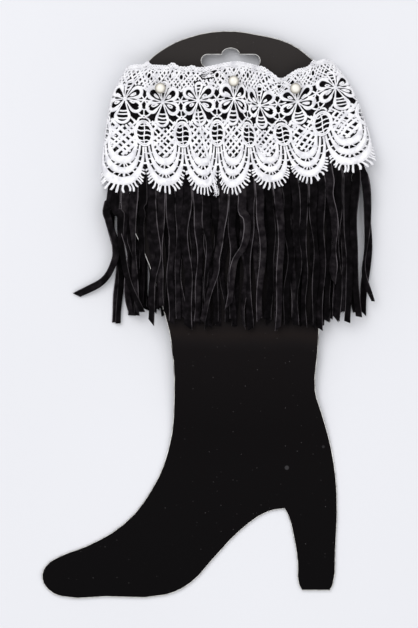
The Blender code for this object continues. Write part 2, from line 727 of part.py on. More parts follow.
def card_drop(y):
    """How far the card has come down to the surface at a height, in one smooth bend."""
    return (CORE_HEIGHT - CARD_THICKNESS / 2) * smooth_step((CARD_BEND_TOP - y) / CARD_BEND_LENGTH)


def make_card(material, collection):
    """The boot-shaped card, flat on the surface at its foot and over the toppers' backs above."""
    curve = bpy.data.curves.new("display_card", "CURVE")
    curve.dimensions = "2D"
    curve.fill_mode = "BOTH"
    curve.extrude = CARD_THICKNESS / 2
    curve.resolution_u = 3
    edge = curve.splines.new("BEZIER")
    edge.bezier_points.add(len(CARD_OUTLINE) - 1)
    for point, (x, y, corner) in zip(edge.bezier_points, CARD_OUTLINE):
        point.co = (x, y, 0.0)
        point.handle_left_type = "VECTOR" if corner else "AUTO"
        point.handle_right_type = "VECTOR" if corner else "AUTO"
    edge.use_cyclic_u = True
    slot = slot_outline()
    hole = curve.splines.new("POLY")
    hole.points.add(len(slot) - 1)
    for point, (x, y) in zip(hole.points, slot):
        point.co = (x, y, 0.0, 1.0)
    hole.use_cyclic_u = True
    guide = bpy.data.objects.new("display_card", curve)
    bpy.context.scene.collection.objects.link(guide)
    bpy.context.view_layer.update()
    evaluated = guide.evaluated_get(bpy.context.evaluated_depsgraph_get())
    mesh = bpy.data.meshes.new_from_object(evaluated)
    bpy.data.objects.remove(guide, do_unlink=True)
    shape = bmesh.new()
    shape.from_mesh(mesh)
    bmesh.ops.remove_doubles(shape, verts=shape.verts[:], dist=CARD_MERGE_DISTANCE)
    bend_lines = CARD_BEND_TOP - np.linspace(0.0, CARD_BEND_LENGTH, CARD_BEND_CUTS)
    cut_along(shape, 1, bend_lines, CARD_MERGE_DISTANCE)
    bmesh.ops.remove_doubles(shape, verts=shape.verts[:], dist=CARD_MERGE_DISTANCE)
    bmesh.ops.triangulate(shape, faces=shape.faces[:])

    def mapping(points):
        height = CORE_HEIGHT + points[:, 2] - card_drop(points[:, 1])
        return np.stack([points[:, 0], points[:, 1], height], axis=-1) * MM

    move_points(shape, mapping)
    face_outward(shape)
    shape.to_mesh(mesh)
    shape.free()
    return new_object("display_card", mesh, material, collection)


def make_pearl(name, line, depth, material, collection):
    """A pearl bead sewn on a flower, just clear of the lace under it."""
    out = OUTER_LACE[0] + OUTER_LACE[1] / 2 + PEARL_DIAMETER / 2 + PEARL_SINK
    place = lay(line, depth, out, 1, below=False)
    shape = bmesh.new()
    bmesh.ops.create_uvsphere(shape, u_segments=10, v_segments=7, radius=PEARL_DIAMETER / 2 * MM)
    for vertex in shape.verts:
        vertex.co.x += place[0] * MM
        vertex.co.y += place[1] * MM
        vertex.co.z += place[2] * MM
    mesh = bpy.data.meshes.new(name)
    shape.to_mesh(mesh)
    shape.free()
    return new_object(name, mesh, material, collection)


def stand_on_origin(pieces):
    """Shift every piece so that the whole rests on z = 0 with its middle over the origin."""
    points = np.array([vertex.co[:] for piece in pieces for vertex in piece.data.vertices])
    low, high = points.min(axis=0), points.max(axis=0)
    shift = (-(low[0] + high[0]) / 2, -(low[1] + high[1]) / 2, -low[2])
    for piece in pieces:
        for vertex in piece.data.vertices:
            vertex.co.x += shift[0]
            vertex.co.y += shift[1]
            vertex.co.z += shift[2]


def build():
    clear_scene()
    collection = make_collection("boot_toppers")
    finish = {name: make_material(name) for name in FINISHES}
    pieces = [make_card(finish["card"], collection)]
    for side, face in ((1, "front"), (-1, "back")):
        outer_levels = FRONT_LEVELS_OUTER if side > 0 else BACK_LEVELS_OUTER
        inner_levels = FRONT_LEVELS_INNER if side > 0 else BACK_LEVELS_INNER
        lace, suede = finish["lace"], finish["suede"]
        slide, inset = INNER_SLIDE, INNER_INSET
        pieces.append(make_lace("outer_lace_" + face, OUTER_LACE, side, True,
                                0.0, 0.0, lace, collection))
        pieces.append(make_band("outer_band_" + face, OUTER_BAND, side, 0.0, 0.0, suede, collection))
        pieces.append(make_fringe("outer_fringe_" + face, OUTER_BAND, side, OUTER_STRANDS, outer_levels,
                                  0.0, 0.0, 0.0, OUTER_SEEDS[side], suede, collection))
        pieces.append(make_lace("inner_lace_" + face, INNER_LACE, side, False,
                                slide, inset, lace, collection))
        pieces.append(make_band("inner_band_" + face, INNER_BAND, side, slide, inset, suede, collection))
        pieces.append(make_fringe("inner_fringe_" + face, INNER_BAND, side, INNER_STRANDS, inner_levels,
                                  slide, inset, INNER_TIP_LIFT, INNER_SEEDS[side], suede, collection))
    for name, line, depth in PEARLS:
        pieces.append(make_pearl(name, line, depth, finish["pearl"], collection))
    stand_on_origin(pieces)


build()
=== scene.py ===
"""Looks of a nested pair of lace and fringe boot toppers on a boot-shaped display card.

The part's solids are the fixed frame. Each cloth node is replaced by threads, bands and strands
that are worked out from the same named sizes. Sizes are millimetres in the drawing's own frame,
whose x and y are moved to the card's place.
"""
import functools
import math
import random
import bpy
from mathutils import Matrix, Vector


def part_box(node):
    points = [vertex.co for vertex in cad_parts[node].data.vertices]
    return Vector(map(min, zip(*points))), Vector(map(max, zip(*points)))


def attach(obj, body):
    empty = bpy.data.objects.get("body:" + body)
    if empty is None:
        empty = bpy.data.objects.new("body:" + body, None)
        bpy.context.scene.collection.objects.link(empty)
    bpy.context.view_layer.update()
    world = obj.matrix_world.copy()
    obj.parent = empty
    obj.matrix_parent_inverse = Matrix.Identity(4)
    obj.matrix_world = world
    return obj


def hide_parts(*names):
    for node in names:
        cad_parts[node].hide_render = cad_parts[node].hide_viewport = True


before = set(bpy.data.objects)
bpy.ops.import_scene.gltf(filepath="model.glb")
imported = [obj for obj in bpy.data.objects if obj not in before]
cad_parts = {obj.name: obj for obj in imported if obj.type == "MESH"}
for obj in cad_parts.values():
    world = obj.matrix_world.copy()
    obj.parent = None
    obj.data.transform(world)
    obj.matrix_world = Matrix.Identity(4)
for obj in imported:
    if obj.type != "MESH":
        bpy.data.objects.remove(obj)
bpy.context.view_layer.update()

from types import SimpleNamespace

import bpy
import numpy as np

MM = 0.001

# Sizes of the lace repeat and of the layers, as in the part's source
REPEATS = 7
PITCH = 21.0
HALF = PITCH / 2
HUB_DEPTH = 19.0
BAND_HEM = 66.0
LEFT_FOLD = -0.5
RIGHT_FOLD = REPEATS - 0.5
# Columns: repeat line, x and y at the top edge, x and y at the flower hubs, x and y at the hem
LACE_LINES = np.array([
    (-0.5, -45.0, 134.0, -53.4, 117.0, -59.9, 68.0),
    (0.0, -39.0, 135.5, -46.0, 117.0, -46.6, 69.5),
    (1.0, -23.8, 135.0, -25.5, 115.2, -24.0, 69.0),
    (2.0, -6.0, 134.0, -6.5, 116.0, -2.7, 68.0),
    (3.0, 13.5, 137.0, 13.0, 117.0, 12.0, 68.0),
    (4.0, 28.2, 134.5, 26.9, 113.3, 34.7, 71.2),
    (5.0, 48.2, 133.3, 47.2, 115.4, 55.0, 74.0),
    (6.0, 61.5, 138.0, 68.0, 123.0, 77.8, 80.6),
    (6.5, 66.5, 137.0, 76.5, 123.5, 91.0, 83.0),
])
# Soft ridges on the front. Columns: repeat line, half width, height at the top, height at the hem
FOLDS = [
    (0.5, 0.9, 0.8, 1.4), (2.4, 0.4, 1.2, 1.4), (3.4, 0.8, 4.2, 1.6), (5.2, 0.6, 2.6, 1.2),
    (6.0, 0.6, 1.4, 2.2),
]
FOLD_FADE = 0.7
NOTCH_LINE = 4.5
NOTCH_SHARPNESS = 1.35
NOTCH_DROP = 6.5
NOTCH_REACH = 16.0
# Height of the core sheet, then each layer's distance out of it and its thickness
CORE_HEIGHT = 5.85
LOWEST = 0.02
OUTER_LACE = (5.25, 1.2)
OUTER_BAND = (3.9, 0.9)
INNER_LACE = (2.65, 1.0)
INNER_BAND = (1.45, 0.8)
TORN_REPEAT = 2
INNER_SLIDE = 5.0
INNER_INSET = 1.5
# How far the lower corners are drawn in at the left and right, and the depths where that happens
DRAWN_IN = (3.2, 6.9)
DRAWN_REACH = 2.4
DRAWN_DEPTHS = (44.0, 66.0)
# Bumps of the braid along the front's top edge. Columns: repeat line, half width, height
TOP_BUMPS = [(0.33, 0.17, 1.8), (1.22, 0.20, 1.7), (1.80, 0.16, 1.0), (5.55, 0.20, 1.7), (6.1, 0.3, 0.5)]
BUMP_REACH = 6.0

# Worked pattern of one lace repeat, in flat millimetres: u across, t down from the top edge
STITCH_SPACING = 0.42
# Petals of a flower. Columns: angle, distance of the round end's centre, its radius, half width
# of the wall. A leaf lies in each side petal
PETALS = [
    (37.0, 7.3, 2.85, 1.1), (143.0, 7.3, 2.85, 1.1), (-29.0, 7.0, 2.8, 1.1), (209.0, 7.0, 2.8, 1.1),
    (-90.0, 9.7, 3.35, 0.90), (90.0, 8.6, 2.0, 0.72),
]
SIDE_PETALS = (37.0, 143.0, -29.0, 209.0)
LEAN_LEFT = (37.0, 209.0)
HUB_RADIUS = 0.7
PETAL_START = 1.3
LEAF_START = 3.0
# How far worked petals and leaves stray from the pattern: ranges of a random draw
PETAL_TURN = (-4.5, 4.5)
PETAL_SHIFT = (-0.35, 0.25)
PETAL_SIZE = (0.90, 1.04)
PETAL_WALL = (0.85, 1.12)
LEAF_LEAN = (0.3, 0.7)
LEAF_TURN = (-5.0, 5.0)
LEAF_END = (5.6, 7.2)
LEAF_HALF_WIDTH = (0.4, 0.8)
# Bars across the long lower petal and the upper one. Columns: distance from the hub, half length
LONG_PETAL_BARS = [(6.3, 2.2), (8.3, 3.0), (10.4, 3.2)]
UPPER_PETAL_BARS = [(5.2, 1.2), (7.2, 1.7), (9.2, 1.8)]
# Crossing threads. Columns: spacing, slope, least and most half width, least and most depth
SCALLOP_NET = (3.8, 1.0, 0.50, 0.95, 29.0, 50.2)
BRAID_NET = (2.7, 1.15, 0.40, 0.74, 2.2, 14.2)
NET_STEP = 0.4
NET_STRAY = 0.16
NET_BEND = 0.7
OVAL_DEPTH = 36.8
# Ovals that a net leaves free, on both sides. Columns: centre across, centre down, half sizes
SCALLOP_FREE = [(0.0, 27.0, 4.5, 6.2), (HALF, OVAL_DEPTH, 5.0, 7.0)]
BRAID_FREE = [(0.0, 11.4, 2.3, 4.0), (6.0, 14.6, 3.2, 3.6), (HALF, 5.8, 1.7, 1.9)]
# A scallop's net ends above a parabola: its lowest depth, and its rise for each squared mm
SCALLOP_NET_TOP = 29.5
SCALLOP_NET_FOOT = (49.6, 0.165)
BRAID_NET_REACH = (2.4, 14.2)
# Knots scattered on a net. Columns: how many, half length, least and most depth
KNOTS_REACH = 9.5
SCALLOP_KNOTS = (16, 1.1, 31.5, 47.5)
BRAID_KNOTS = (9, 0.9, 4.0, 12.5)
# The torn hole's least and most u, then its least and most t, and u and t of the small eyelets
TORN_THREADS = 12
TORN_HOLE = (1.5, 9.5, 3.0, 7.0)
SMALL_EYELETS = [(5.3, 5.2), (-5.4, 5.6)]
# Worked bands of a scallop: points of the right half from the bottom up, then half widths
SCALLOP_BANDS = [
    ([(0, 51.7), (2.5, 51.1), (4.5, 48.8), (5.7, 45.6), (6.3, 42.8), (6.4, 40.4)], 2.45, 0.70),
    ([(0, 57.4), (3.0, 56.4), (5.4, 53.4), (6.9, 49.6), (7.8, 46.2), (8.2, 43.4)], 2.00, 0.62),
    ([(0, 63.0), (3.6, 61.9), (6.4, 58.8), (8.3, 54.8), (9.4, 50.8), (9.8, 47.2), (9.9, 44.2)], 2.50, 0.62),
]
BAND_SWELL = 2.8
BAND_RIPPLE = (0.05, 40.0)
# Bars over the gaps between bands. Columns: the lower band's row, the upper one's full width there
BAND_GAPS = [(1, 2.1), (2, 2.7)]
BAR_SPACING = 4.2
BAR_LENGTH = 1.9
BAR_STEP = 0.35
# Thread loops at the hem: how many, from what depth, their length and what the outer ones lose
PICOTS = 17
PICOT_START = 55.8
PICOT_LENGTH = (4.4, 2.6)
PICOT_HALF_WIDTHS = (0.48, 0.50, 0.60, 0.46)
# Cords of the upper border. Columns: kind, depth, height of its waves, their length, their phase
BRAID = [
    ("braid cord", 1.45, 0.62, 3.5, 0.0), ("braid cord", 1.45, 0.62, 3.5, math.pi),
    ("edge cord", 0.30, 0.30, 2.1, 0.0), ("lower cord", 2.65, 0.25, 5.25, 0.0),
]
# Rings on a half line. Columns: kind, depth, half width, half height, points
HALF_LINE_RINGS = [
    ("eyelet", 5.8, 1.45, 1.75, 9), ("knot ring", 18.7, 0.35, 0.35, 6), ("oval crown", 27.7, 0.8, 0.8, 8),
    ("oval", OVAL_DEPTH, 4.75, 6.70, 20), ("inner oval", OVAL_DEPTH, 3.95, 5.75, 18),
]
# Threads on a half line. Columns: kind, then u and t of each point
HALF_LINE_THREADS = [
    ("crossing", (-1.7, 16.2), (0.1, 18.6), (1.7, 21.1)),
    ("crossing", (1.7, 16.2), (0.1, 18.6), (-1.7, 21.1)),
    ("stalk", (0, 24.0), (0, 26.6)),
    ("oval upright", (0, 31.0), (0.25, 35.0), (-0.2, 39.0), (0, 42.6)),
]
# Threads at the right of a half line and, mirrored, at its left
MIRRORED_THREADS = [
    ("petal link", (3.4, 11.6), (1.6, 12.6), (0, 13.1)),
    ("crossing", (3.0, 22.6), (1.4, 23.4), (0, 24.2)),
    ("crown arm", (3.6, 25.4), (2.2, 26.9), (0.8, 27.6)),
    ("scallop link", (1.0, 28.2), (2.6, 29.0), (3.4, 30.9)),
    ("scallop link", (7.4, 28.4), (6.2, 29.4), (4.3, 31.6)),
]
# Threads with one point that a draw moves. Columns: kind, the point, its reach, then u and t
UPPER_LOOSE_THREADS = [
    ("stem", 1, (0.3, 0.0), (0, 7.5), (0, 10.4), (0, 12.4)),
    ("arm", 1, (0.0, 0.3), (-4.6, 18.4), (-2.6, 18.9), (0, 18.7)),
    ("arm", 1, (0.0, 0.3), (4.6, 18.4), (2.6, 18.9), (0, 18.7)),
]
VALLEY_BARS = [
    ("upper valley bar", 1, (0.0, 0.3), (-0.9, 47.2), (0.9, 47.2)),
    ("lower valley bar", 1, (0.0, 0.6), (-1.3, 53.2), (1.3, 53.0)),
]
# Wavy bars across the oval medallion. Columns: depth, half length
OVAL_BARS = [(32.6, 2.8), (35.3, 3.6), (38.0, 3.7), (40.7, 2.7)]
OVAL_BAR_WAVE = (0.15, 0.6)
# Kinds of worked thread. Columns: half width or its range, half height, lift above the middle.
# The half width is None where it changes along the thread or comes with a net's sizes
THREADS = {
    "hub": (0.80, 0.62, 0.10), "petal": (0.40, 0.55, 0.06), "leaf": (0.46, 0.36, -0.05),
    "long petal bar": ((0.44, 0.56), 0.34, 0.0), "upper petal bar": (0.42, 0.34, 0.0),
    "net below": (None, 0.34, -0.12), "net above": (None, 0.34, 0.04),
    "scallop knot": ((0.30, 0.62), 0.36, 0.10), "braid knot": ((0.40, 0.70), 0.36, 0.10),
    "torn thread": (0.24, 0.24, 0.0), "small eyelet": (0.44, 0.40, 0.06), "band": (None, 0.56, 0.0),
    "band bar": ((0.30, 0.60), 0.34, -0.05), "picot": (None, 0.42, 0.0), "braid cord": (0.50, 0.42, 0.12),
    "edge cord": (0.46, 0.48, 0.0), "lower cord": (0.40, 0.44, 0.0), "eyelet": (0.50, 0.45, 0.08),
    "stem": (0.42, 0.34, 0.0), "knot ring": (0.52, 0.40, 0.10), "crossing": (0.46, 0.34, 0.0),
    "arm": (0.48, 0.34, 0.0), "petal link": (0.50, 0.34, 0.0), "stalk": (0.34, 0.32, 0.0),
    "oval crown": (0.46, 0.42, 0.05), "crown arm": (0.50, 0.30, 0.0), "scallop link": (0.55, 0.30, 0.0),
    "oval": (0.58, 0.52, 0.05), "inner oval": (0.42, 0.50, 0.02), "oval upright": (0.34, 0.34, 0.0),
    "oval bar": ((0.36, 0.50), 0.34, 0.02), "upper valley bar": (0.36, 0.30, -0.05),
    "lower valley bar": (0.62, 0.36, -0.05), "seam cord": (None, 0.30, 0.55),
    "seam stitch": (0.22, 0.26, 0.75), "tuft thread": ((0.12, 0.20), 0.16, 0.50),
}

# Suede band and fringe
BAND_TOP = 2.5
# How far each corner's cut reaches in repeat lines, and how deep it is
BAND_LEFT_CUT = (0.8, 7.0)
BAND_RIGHT_CUT = (0.5, 2.8)
BAND_BOTTOM = 43.7
BAND_MARGIN = 0.005
BAND_COLUMNS = 85
BAND_ROWS = 22
BAND_WAVE = 0.06
BAND_ROUNDING = 0.03
BAND_EDGE_SHARE = 0.3
STRIP_TOP = 44.0
STRAND_TUCK = 0.25
STRAND_LEAVES = 71.5
STRAND_SETTLES = 7.0
STRAND_SPACE = 0.32
STRAND_THICKNESS = 0.8
STRAND_LOWEST = 0.12
OUTER_STRANDS = 30
INNER_STRANDS = 26
# Heights of the strands' layers
BACK_LEVELS_OUTER = (0.75, 1.85)
BACK_LEVELS_INNER = (2.95, 4.05)
FRONT_LEVELS_INNER = (7.35, 8.45)
FRONT_LEVELS_OUTER = (9.55, 10.65, 11.75, 12.85)
CARD_EDGE_SINK = 2.2
CARD_EDGE_OVERHANG = 4.0
FAR_SIDE_SINK = 2.0
SINK_LENGTH = 14.0
INNER_REACH = (-46.0, 75.8)
INNER_FRINGE_EDGE = 0.08
SEAM_GAP = 0.3
# Line of the tips. Columns: x, y on the front, y on the back
TIP_LINE = np.array([
    (-62.0, -4.0, -5.0), (-44.0, -4.5, -2.0), (-36.0, -0.5, 1.5), (-27.0, 2.0, 3.0),
    (-22.0, -6.5, -5.0), (0.0, -7.5, -6.5), (40.0, -7.0, -7.0), (62.0, -7.0, -5.5),
    (70.0, -3.0, 0.5), (84.0, -2.5, 0.0), (92.0, 8.0, 6.0),
])
# Strands with a place of their own: side and index, then the layer and four points down the strand
FREE_STRANDS = {
    (1, 1): (2, -47.8, 54.0, -48.6, 38.0, -44.2, 20.0, -36.8, 1.6),
    (1, 4): (2, -37.2, 55.0, -37.1, 53.0, -37.0, 51.0, -36.8, 48.5),
    (1, 5): (3, -30.9, 48.8, -27.4, 32.5, -31.4, 16.3, -32.0, -4.2),
    (1, 13): (2, 6.8, 48.0, 2.6, 32.0, 2.8, 20.0, -4.3, -3.3),
    (1, 15): (2, 19.6, 52.0, 18.5, 38.0, 13.5, 27.5, 9.8, 4.9),
    (1, 25): (2, 66.6, 55.8, 66.2, 38.5, 66.8, 26.0, 67.4, 17.9),
    (1, 28): (2, 78.6, 60.0, 77.2, 44.0, 79.0, 22.0, 80.6, -1.0),
    (1, 29): (1, 85.2, 54.0, 84.9, 38.0, 83.9, 22.0, 88.4, 7.4),
    (-1, 0): (0, -54.3, 54.0, -51.6, 38.0, -49.2, 20.0, -51.8, -4.0),
    (-1, 1): (1, -53.6, 54.0, -51.4, 38.0, -48.9, 20.0, -49.5, -4.6),
    (-1, 28): (0, 78.2, 60.0, 77.6, 44.0, 78.0, 22.0, 79.0, 1.5),
}
# The strand that strays to the left. Columns: x, y, height
STRAY_STRAND = np.array([
    (-54.5, 51.0, 8.6), (-52.0, 38.0, 8.0), (-52.7, 28.5, 5.8), (-58.0, 18.2, 3.4), (-72.4, 10.8, 0.75),
])
# Each strand's flat coordinate starts this much further on, so that its shade can be its own
STRAND_KEY = 200.0
# A strand is this much wider at each side where it still lies beside its neighbours
CUT_CLOSED = 0.13
STRAND_BENDS = (0.3, 0.55, 0.8, 1.0)
BEND_SWAY = 0.55
TIP_SWAY = 0.7
# Tips at the left lean right: how far, from which x, over what reach
TIP_GATHER = (4.5, -57.0, 34.0)
TIP_RAGGED = 1.5
SIDE_LEAN = 1.2
# How a strand strays from a plain ribbon: ranges of random draws in millimetres, radians or shares
LOOKS_SEED = 100
ANY_PHASE = (0, 6)
TIP_SHORTENED = (-0.15, 0.42)
# Columns: axis, range of the wave's height
STRAND_WAVES = [(0, (0.3, 1.5)), (2, (0.2, 0.8))]
WAVE_TURNS = (5, 12)
STRAND_BOW = (-2.0, 2.0)
STRAND_TWISTS = (0.2, 0.45, 1.1)
TWIST_TURNS = (0.9, 2.6)
STRAND_CUP = (-0.45, 0.45)
CUP_DEPTH = 0.6
STRAND_TAPER = (0.0, 0.38)
UNEVEN_WIDTH = 0.07
UNEVEN_TURNS = (9, 22)
TIP_SLANT = (-1.2, 1.2)
# Powers of the flat-sided oval section, for its width and its height
SECTION_POWERS = (0.55, 0.7)
# The toppers' layers, places and random seeds, and how fine their threads and strands are
TOPPERS = {
    "outer": SimpleNamespace(
        outer=True, lace=OUTER_LACE, band=OUTER_BAND, slide=0.0, inset=0.0, strands=OUTER_STRANDS,
        tip_lift=0.0, levels={1: FRONT_LEVELS_OUTER, -1: BACK_LEVELS_OUTER},
        strand_seeds={1: 12, -1: 10}, lace_seed=30,
        thread_step=0.85, thread_sides=6, strand_step=1.6, strand_sides=10, laid_rows=11),
    "inner": SimpleNamespace(
        outer=False, lace=INNER_LACE, band=INNER_BAND, slide=INNER_SLIDE, inset=INNER_INSET,
        strands=INNER_STRANDS, tip_lift=1.5, levels={1: FRONT_LEVELS_INNER, -1: BACK_LEVELS_INNER},
        strand_seeds={1: 22, -1: 20}, lace_seed=60,
        thread_step=1.9, thread_sides=4, strand_step=5.0, strand_sides=6, laid_rows=5),
}

# Display card
CARD_THICKNESS = 1.5
CARD_RIGHT = 77.5
CARD_TOP = 154.0
# Columns: x, y, whether the point is a sharp corner
CARD_OUTLINE = [
    (7.5, 154.0, False), (26.0, 152.0, False), (43.8, 147.0, False), (55.5, 138.5, False),
    (64.0, 130.0, False), (70.0, 117.0, False), (75.0, 100.0, False), (77.5, 84.0, False),
    (75.5, 66.0, False), (70.5, 50.0, False), (64.5, 32.0, False), (60.5, 10.0, False),
    (58.5, -20.0, False), (57.2, -41.0, False), (61.0, -54.0, False), (66.0, -72.6, False),
    (69.0, -96.5, False), (68.2, -128.0, False), (66.8, -146.5, False),
    (65.0, -149.6, True), (50.0, -149.6, True),
    (48.0, -146.0, False), (47.4, -134.0, False), (45.3, -120.3, False), (42.6, -109.5, False),
    (40.5, -105.2, True), (31.7, -106.8, False), (16.6, -117.0, False), (2.2, -132.0, False),
    (-10.8, -145.8, False), (-24.4, -152.1, False), (-56.5, -153.0, False),
    (-80.0, -153.0, False), (-87.5, -149.5, False), (-91.2, -143.0, False),
    (-89.5, -136.5, False), (-81.0, -130.6, False), (-66.8, -125.2, False),
    (-46.9, -113.3, False), (-32.5, -95.9, False), (-22.7, -73.0, False), (-19.6, -46.0, False),
    (-21.3, -14.0, False), (-24.5, 0.0, False), (-30.5, 20.0, False), (-38.5, 40.0, False),
    (-46.5, 56.0, False), (-51.0, 70.0, False), (-50.5, 90.0, False), (-48.0, 108.0, False),
    (-43.0, 120.0, False), (-34.0, 137.0, False), (-25.2, 144.3, False), (-12.0, 150.5, False),
]
# The outline's points beside the toppers
CARD_RIGHT_SIDE = slice(3, 14)
CARD_LEFT_SIDE = slice(41, 52)
CARD_BEND_TOP = -12.0
CARD_BEND_LENGTH = 72.0
SLOT_CENTRE = (11.2, 137.8)
SLOT_SIZE = (31.6, 6.6)
SLOT_BUMP = (9.4, 3.4)
# The rim of the cut edge. Columns: how far out of the outline, how far above the board's middle
RIM_SECTION = [(-0.34, 0.80), (0.02, 0.72), (0.07, 0.45), (0.07, -0.45), (0.02, -0.70), (-0.34, -0.745)]
SAME_POINT = 0.02
# Faint rubbed spots above the heel. Columns: x, y, radius, strength
RUBBED_SPOTS = [(41.7, -82.9, 0.9, 0.14), (61.5, -71.5, 0.6, 0.08)]

# Pearl beads: their gap over the lace, and the repeat line and depth where each sits
PEARL_DIAMETER = 6.0
PEARL_GAP = 0.35
PEARLS = {"pearl_left": (0.91, 11.9), "pearl_middle": (2.97, 10.1), "pearl_right": (4.95, 11.3)}
LACE_FACE = OUTER_LACE[0] + OUTER_LACE[1] / 2
DRILLED_ANGLE = 1.52
# A stitch from a bead's hole into the lace. Columns: aside, away from the bead's middle, height
STITCH_PATH = [(0.0, 2.7, 3.0), (0.1, 3.5, 2.2), (0.0, 3.8, 0.8), (0.0, 3.7, -0.6)]
STITCH_STEP = 0.4
STITCH_RADIUS = 0.28
STITCH_TILT = 0.2

# The lace's own join down the front. Columns: repeat line, depth
SEAM_LINE = [(1.97, 24.0), (2.0, 32.0), (2.08, 42.0), (2.2, 52.0), (2.32, 61.0), (2.42, 68.5)]
SEAM_SEED = 5
SEAM_STEP = 0.8
SEAM_SIDES = 6
SEAM_FIRST_STITCH = 14
TUFT_THREADS = 16
# A frayed thread's points. Columns: share of its lean, share of its length
TUFT_SHAPE = [(0.0, 0.0), (0.6, 0.4), (0.3, 0.8), (1.3, 1.0)]

# Floor, light and camera, in metres and watts. Lamp columns: name, place, power
FLOOR_HALF = 1.5
FLOOR_LEVEL = -0.0002
SKY_COLOUR = "#F6F6F7"
SKY_STRENGTH = 0.92
LAMPS = [("key", (-0.55, 0.75, 1.5), 14.0), ("fill", (0.9, -0.5, 1.3), 5.0)]
LAMP_SIZE = 1.2
LAMP_COLOUR = (1.0, 0.995, 1.0)
CAMERA_DISTANCE = 3.0
CORE_HEIGHT_SEEN = 0.006
# The photo's middle in the drawing's millimetres, and the height that it takes in, in metres
VIEW_CENTRE = (-0.54, 0.54)
VIEW_HEIGHT = 0.3404

CARD_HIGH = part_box("display_card")[1]
SHIFT = np.array([CARD_HIGH.x / MM - CARD_RIGHT, CARD_HIGH.y / MM - CARD_TOP, 0.0])


def smooth(knots, values, q):
    """Monotone cubic through values at the knots: tangents are harmonic means of the slopes."""
    knots = np.asarray(knots, float)
    values = np.asarray(values, float)
    q = np.asarray(q, float)
    shape = (len(knots),) + (1,) * q.ndim
    if values.ndim == 1:
        values = np.broadcast_to(values.reshape(shape), (len(knots),) + q.shape)
    steps = np.diff(knots).reshape((-1,) + (1,) * q.ndim)
    slopes = np.diff(values, axis=0) / steps
    before, after = slopes[:-1], slopes[1:]
    same_way = before * after > 0
    blend = 2 * before * after / np.where(same_way, before + after, 1.0)
    tangents = np.concatenate([slopes[:1], np.where(same_way, blend, 0.0), slopes[-1:]])
    k = np.clip(np.searchsorted(knots, q, side="right") - 1, 0, len(knots) - 2)

    def pick(table, index):
        return np.take_along_axis(table, index[None, ...], axis=0)[0]

    width = knots[k + 1] - knots[k]
    part = (q - knots[k]) / width
    held = np.clip(part, 0.0, 1.0)
    low, high = pick(values, k), pick(values, k + 1)
    low_tangent, high_tangent = pick(tangents, k) * width, pick(tangents, k + 1) * width
    two, three = held ** 2, held ** 3
    curve = (low * (2 * three - 3 * two + 1) + low_tangent * (three - 2 * two + held)
             + high * (3 * two - 2 * three) + high_tangent * (three - two))
    return curve + np.minimum(part, 0) * low_tangent + np.maximum(part - 1, 0) * high_tangent


def smooth_step(q):
    """3q² - 2q³, held at 0 and 1."""
    q = np.clip(q, 0.0, 1.0)
    return q * q * (3 - 2 * q)


HALF_TURN = OUTER_LACE[0] * math.pi / 2


def line_lengths(level):
    """Length along the lace of each lace line, with a quarter circle at both side folds."""
    x = LACE_LINES[:, 1 + 2 * level]
    radius = OUTER_LACE[0]
    width = x[-1] - x[0] - 2 * radius + 2 * HALF_TURN

    def length(distance):
        turn = np.arccos(np.clip(1 - distance / radius, -1, 1)) * radius
        return np.where(distance < radius, turn, HALF_TURN + distance - radius)

    return np.where(x - x[0] < x[-1] - x, length(x - x[0]), width - length(x[-1] - x)), width


def fold_height(s, t):
    """Sum of (1 - ((s - line) / half width)²)² times a height that goes from top to hem."""
    height = np.zeros_like(s)
    for line, half_width, at_top, at_hem in FOLDS:
        across = np.clip(1 - ((s - line) / half_width) ** 2, 0, None) ** 2
        height += across * (at_top + (at_hem - at_top) * t / BAND_HEM)
    return height * side_fade(s)


def side_fade(s):
    """From 0 at both side folds to 1 over the flat middle."""
    return smooth_step((s - LEFT_FOLD) / FOLD_FADE) * smooth_step((RIGHT_FOLD - s) / FOLD_FADE)


def draw_in(s, t):
    """Shift in x of what lies under the outer lace, towards the middle near both lower corners."""
    left = DRAWN_IN[0] * smooth_step(1 - (s - LEFT_FOLD) / DRAWN_REACH)
    right = DRAWN_IN[1] * smooth_step(1 - (RIGHT_FOLD - s) / DRAWN_REACH)
    start, full = DRAWN_DEPTHS
    return (left - right) * smooth_step((t - start) / (full - start))


def top_bump(s, t):
    """Rise of the braid: a round bump (1 - q²)² that fades out over the first few mm of depth."""
    rise = np.zeros_like(s)
    for line, half_width, height in TOP_BUMPS:
        rise += height * np.clip(1 - ((s - line) / half_width) ** 2, 0, None) ** 2
    return rise * np.clip(1 - t / BUMP_REACH, 0, 1)


